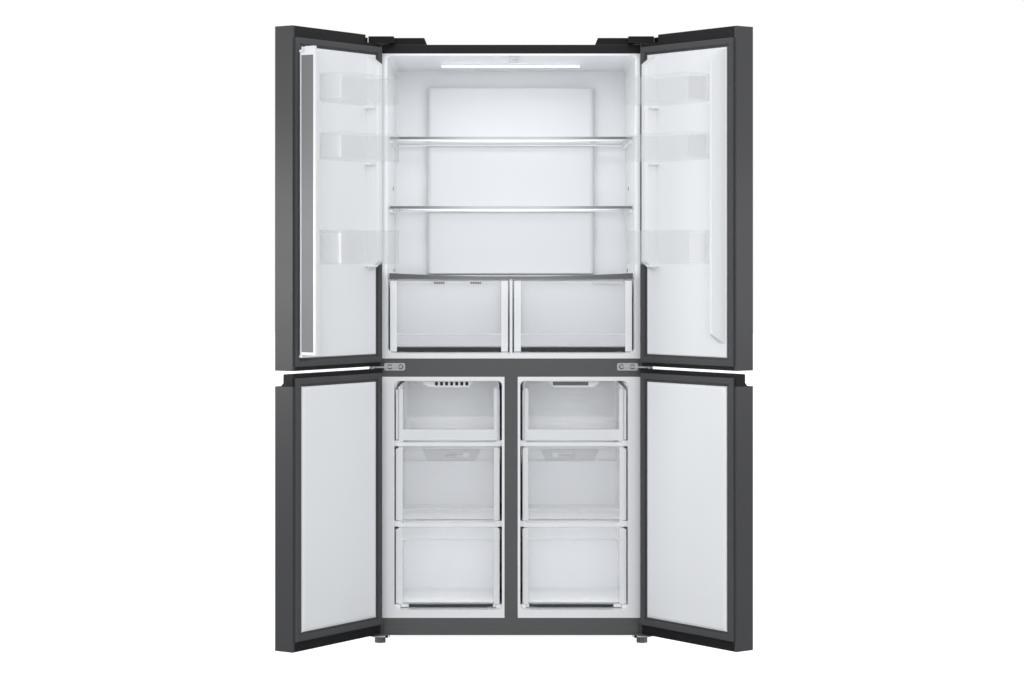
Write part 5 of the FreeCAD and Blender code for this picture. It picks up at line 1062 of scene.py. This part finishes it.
for side in ("left", "right"):
    shut = closing_turn("lower_%s_door_hinge" % side)
    points = shut_points(nodes["lower_%s_door_liner" % side], shut)
    crest = max(point[1] for point in points)
    flat = [point for point in points if point[1] > crest - FIELD_SINK]
    x = (min(point[0] for point in flat), max(point[0] for point in flat))
    z = (min(point[2] for point in flat), max(point[2] for point in flat))
    outline = ((x[0], z[0]), (x[1], z[0]), (x[1], z[1]), (x[0], z[1]))
    bm = bmesh.new()
    base = bm.faces.new([bm.verts.new((place[0], crest - FIELD_SINK, place[1])) for place in outline])
    for vert in extrude_faces(bm, [base]):
        vert.co.x -= math.copysign(FIELD_SLOPE, vert.co.x - (x[0] + x[1]) / 2)
        vert.co.z -= math.copysign(FIELD_SLOPE, vert.co.z - (z[0] + z[1]) / 2)
        vert.co.y = crest + FIELD_RISE
    corners = [edge for edge in bm.edges if abs(edge.verts[0].co.y - edge.verts[1].co.y) > FIELD_SINK]
    soften(bm, corners, FIELD_CORNER, CORNER_SEGMENTS)
    rim = [edge for edge in bm.edges if all(vert.co.y > crest + FIELD_SINK for vert in edge.verts)]
    soften(bm, rim, FIELD_SOFT, RIM_SEGMENTS)
    bmesh.ops.transform(bm, matrix=shut.inverted(), verts=bm.verts[:])
    piece("lower_%s_liner_field" % side, bm, white_liner, "lower_%s_door" % side)
print("raised fields on the lower doors")

# %% [markdown]
# Behind the middle drawers each freezer wall has an air outlet: a sloping plate around a window with three
# blades. The plate's grey is painted shade that stands for the shading of the outlet's outline. The plate is
# a ring of four faces between the outline and the window, given a thickness. The corners are pairs of X and
# Z on the left side, and the right side is their mirror image.

# %% Rear air outlets
OUTLET_OUTLINE = ((-0.2785, 0.5366), (-0.0935, 0.5366), (-0.1105, 0.5006), (-0.2615, 0.5006))
OUTLET_WINDOW = ((-0.204, 0.5256), (-0.132, 0.5256), (-0.132, 0.5116), (-0.204, 0.5116))
OUTLET_FACE = 0.3656
OUTLET_PLATE = 0.0016
OUTLET_BLADES = 3
BLADE_HEIGHT = 0.0026
BLADE_DEPTH = (0.001, 0.005)
BLADE_SOFT = 0.0006

window_foot = OUTLET_WINDOW[2][1]
blade_pitch = (OUTLET_WINDOW[0][1] - window_foot) / OUTLET_BLADES
near, far = (OUTLET_FACE + depth for depth in BLADE_DEPTH)
for side, mirror in (("left", 1), ("right", -1)):
    bm = bmesh.new()
    outer = [bm.verts.new((mirror * x, OUTLET_FACE, z)) for x, z in OUTLET_OUTLINE]
    inside = [bm.verts.new((mirror * x, OUTLET_FACE, z)) for x, z in OUTLET_WINDOW]
    ring = [bm.faces.new((outer[i], outer[i - 1], inside[i - 1], inside[i])) for i in range(4)]
    bmesh.ops.translate(bm, vec=(0, -OUTLET_PLATE, 0), verts=extrude_faces(bm, ring))
    piece("freezer_outlet_plate_" + side, bm, outlet_grey, "cabinet")
    left, right = sorted(mirror * corner[0] for corner in OUTLET_WINDOW[:2])
    bm = bmesh.new()
    for count in range(OUTLET_BLADES):
        z = window_foot + blade_pitch * (count + 0.5)
        add_bar(bm, (left, near, z - BLADE_HEIGHT / 2), (right, far, z + BLADE_HEIGHT / 2), BLADE_SOFT)
    piece("freezer_outlet_blades_" + side, bm, white_trim, "cabinet")
print("outlet blades on each side", OUTLET_BLADES)

# %% [markdown]
# The left crisper has two rows of vent slots in its top bar, and the right one has a slider. Dark bars a
# millimetre proud are painted shade that reads as slots at this size, and they leave the solid behind them
# whole.

# %% Vents and slider of the crispers
VENT_STARTS = (0.131, 0.24)
VENT_SLOTS = 5
VENT_PITCH = 0.0068
VENT_SLOT = 0.0046
VENT_PROUD = 0.001
VENT_BELOW_TOP = (0.0105, 0.0048)
SLIDER_FROM_SIDE = (0.118, 0.026)
SLIDER_PROUD = 0.0042
SLIDER_BELOW_TOP = (0.0115, 0.0045)
SLIDER_SOFT = 0.0016

low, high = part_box("crisper_left")
foot, head = (high[2] - drop for drop in VENT_BELOW_TOP)
bm = bmesh.new()
for start in VENT_STARTS:
    for count in range(VENT_SLOTS):
        x = low[0] + start + VENT_PITCH * count
        add_bar(bm, (x, low[1] - VENT_PROUD, foot), (x + VENT_SLOT, low[1] - CLEARANCE, head), THIN_SOFT)
piece("crisper_left_vents", bm, hinge_dark, "crisper_left")

low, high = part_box("crisper_right")
left, right = (high[0] - reach for reach in SLIDER_FROM_SIDE)
foot, head = (high[2] - drop for drop in SLIDER_BELOW_TOP)
bm = bmesh.new()
add_bar(bm, (left, low[1] - SLIDER_PROUD, foot), (right, low[1] - SKIN, head), SLIDER_SOFT)
piece("crisper_right_slider", bm, outlet_grey, "crisper_right")
print("vent slots", VENT_SLOTS * len(VENT_STARTS))

# %% [markdown]
# Air enters the freezer through its ceiling ducts. The left outlet shows seven dark slits and the right one
# a single long slot. The lamps light the duct's own openings too much, so thin dark bars of painted shade
# darken them: inside the slits on the left, and in front of the duct's face on the right.

# %% Ceiling outlets of the freezer
SLITS = 7
SLIT_PITCH = 0.015
SLIT_SIZE = (0.0086, 0.001, 0.0106)
SLOT_SIZE = (SLIT_PITCH * SLITS, *SLIT_SIZE[1:])
SLIT_FROM_MIDDLE = 0.176
SLIT_SETBACK = 0.038
SLOT_SETBACK = 0.0335
SLIT_BELOW_TOP = 0.0100

slit_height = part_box("freezer_ducts")[1][2] - SLIT_BELOW_TOP


def add_shade(bm, x, setback, size):
    """A thin bar of painted shade around a place in a ceiling outlet."""
    middle = Vector((x, front_plane + setback, slit_height))
    add_bar(bm, middle - Vector(size) / 2, middle + Vector(size) / 2, THIN_SOFT)


bm = bmesh.new()
for count in range(SLITS):
    x = SLIT_PITCH * (count - (SLITS - 1) / 2) - SLIT_FROM_MIDDLE
    add_shade(bm, x, SLIT_SETBACK, SLIT_SIZE)
piece("ceiling_slit_shades", bm, seal_dark, "cabinet")
# The long slot's bar is painted shade in the grey of the flap's plate.
bm = bmesh.new()
add_shade(bm, SLIT_FROM_MIDDLE, SLOT_SETBACK, SLOT_SIZE)
piece("ceiling_slot_shade", bm, flap_grey, "cabinet")
print("ceiling slits", SLITS, "at", round(slit_height, 4))

# %% [markdown]
# Small round things finish the inside and the hinges: grey plugs in the fridge's side walls, and on each
# centre hinge two screws, each on a dark disc that is painted shade of its recess. A disc is a low cone with
# softened rims, and a screw is a disc with a cross on it. A radius, a rise and, for a disc, a taper describe
# each.

# %% Plugs and hinge screws
WALL = 0.366
PLUG_PLACES = ((0.388, 1.354), (0.455, 1.1))
PLUG = (0.006, 0.0016, 0.87)
HINGE_SCREWS = (-0.357, -0.325, 0.325, 0.357)
HINGE_FACE = 0.003
HINGE_SCREW = (0.0058, 0.0026)
HINGE_SCREW_SHADE = (0.0074, 0.0008, 0.97)

bm = bmesh.new()
for side in (-1, 1):
    for y, z in PLUG_PLACES:
        add_disc(bm, (side * WALL, front_plane + y, z), (-side, 0, 0), *PLUG)
piece("wall_plugs", bm, flap_grey, "cabinet")

hinge_low, hinge_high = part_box("centre_hinges")
places = [(x, front_plane - HINGE_FACE, (hinge_low[2] + hinge_high[2]) / 2) for x in HINGE_SCREWS]
bm = bmesh.new()
for place in places:
    add_screw(bm, place, (0, -1, 0), *HINGE_SCREW)
piece("centre_hinge_screws", bm, hinge_steel, "cabinet")
bm = bmesh.new()
for place in places:
    add_disc(bm, place, (0, -1, 0), *HINGE_SCREW_SHADE)
piece("centre_hinge_washers", bm, hinge_dark, "cabinet")
print("plugs", 2 * len(PLUG_PLACES), "hinge screws", len(places))

# %% [markdown]
# Over each front foot there is a plated steel plate with a tongue and a dark clip, and the foot itself is a
# deep cup. The cup is a profile of radius and height spun around the foot's stud, so it turns with the foot,
# while the plate and the clip stay on the cabinet.

# %% Cups, plates and clips of the feet
CUP_PROFILE = (
    (0.0095, 0.0146), (0.0150, 0.0146), (0.0156, 0.0158),
    (0.0156, 0.0222), (0.0146, 0.0234), (0.0095, 0.0234),
)
CUP_STEPS = 32
PLATE_REACH = (-0.019, 0.019)
PLATE_DEPTH = (-0.036, -0.020)
PLATE_RISE = (0.0275, 0.0303)
CLIP_REACH = (0.0175, 0.0245)
CLIP_DEPTH = (0.010, 0.022)
CLIP_RISE = (0.0185, 0.0278)
TONGUE_REACH = (0.0275, 0.0305)
TONGUE_DEPTH = (-0.0014, -0.0001)
TONGUE_RISE = (0.0215, 0.0355)
PLATE_SOFT = 0.0005


def foot_bar(bm, foot, inward, reach, depth, rise):
    """A softened bar beside a foot, reaching from its axis towards the middle of the refrigerator."""
    x = sorted(foot + inward * value for value in reach)
    near, far = (front_plane + value for value in depth)
    add_bar(bm, (x[0], near, rise[0]), (x[1], far, rise[1]), PLATE_SOFT)


for side, inward in (("left", 1), ("right", -1)):
    low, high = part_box("front_foot_" + side)
    x, y = ((low[axis] + high[axis]) / 2 for axis in range(2))
    bm = bmesh.new()
    ring = [bm.verts.new((x + radius, y, rise)) for radius, rise in CUP_PROFILE]
    edges = [bm.edges.new((ring[i - 1], ring[i])) for i in range(len(ring))]
    bmesh.ops.spin(
        bm, geom=ring + edges, cent=(x, y, 0), axis=(0, 0, 1), angle=2 * math.pi, steps=CUP_STEPS,
        use_merge=True,
    )
    piece("front_foot_%s_cup" % side, bm, foot_grey, "front_foot_" + side)
    bm = bmesh.new()
    foot_bar(bm, x, inward, PLATE_REACH, PLATE_DEPTH, PLATE_RISE)
    foot_bar(bm, x, inward, TONGUE_REACH, TONGUE_DEPTH, TONGUE_RISE)
    piece("foot_plate_" + side, bm, zinc_plate, "cabinet")
    bm = bmesh.new()
    foot_bar(bm, x, inward, CLIP_REACH, CLIP_DEPTH, CLIP_RISE)
    piece("foot_clip_" + side, bm, cap_plastic, "cabinet")
print("cups, plates and clips on both feet")

# %% [markdown]
# The back is closed with screws along its edges and around the machine room's cover. The picture doesn't
# show them, but the part may be turned round, and a bare back would look unfinished.

# %% Screws of the back
BACK_SCREW = (0.0045, 0.0022)
ROOM_COLUMNS = (-0.4, -0.2, 0.0, 0.2, 0.4)
ROOM_TOP_INSET = 0.012
ROOM_FOOT_INSET = 0.014
EDGE_ROWS = (0.3, 0.62, 0.94, 1.26, 1.58)
EDGE_COLUMNS = (-0.405, 0.405)
TOP_COLUMNS = (-0.27, 0.0, 0.27)
TOP_INSET = 0.014

room_low, room_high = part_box("machine_room_cover")
places = [(x, room_high[2] - ROOM_TOP_INSET) for x in ROOM_COLUMNS]
places += [(x, room_low[2] + ROOM_FOOT_INSET) for x in (ROOM_COLUMNS[0], ROOM_COLUMNS[-1])]
places += [(x, z) for z in EDGE_ROWS for x in EDGE_COLUMNS]
places += [(x, shell_high[2] - TOP_INSET) for x in TOP_COLUMNS]
bm = bmesh.new()
for x, z in places:
    add_screw(bm, (x, shell_high[1], z), (0, 1, 0), *BACK_SCREW)
piece("back_screws", bm, hinge_steel, "cabinet")
print("back screws", len(places))
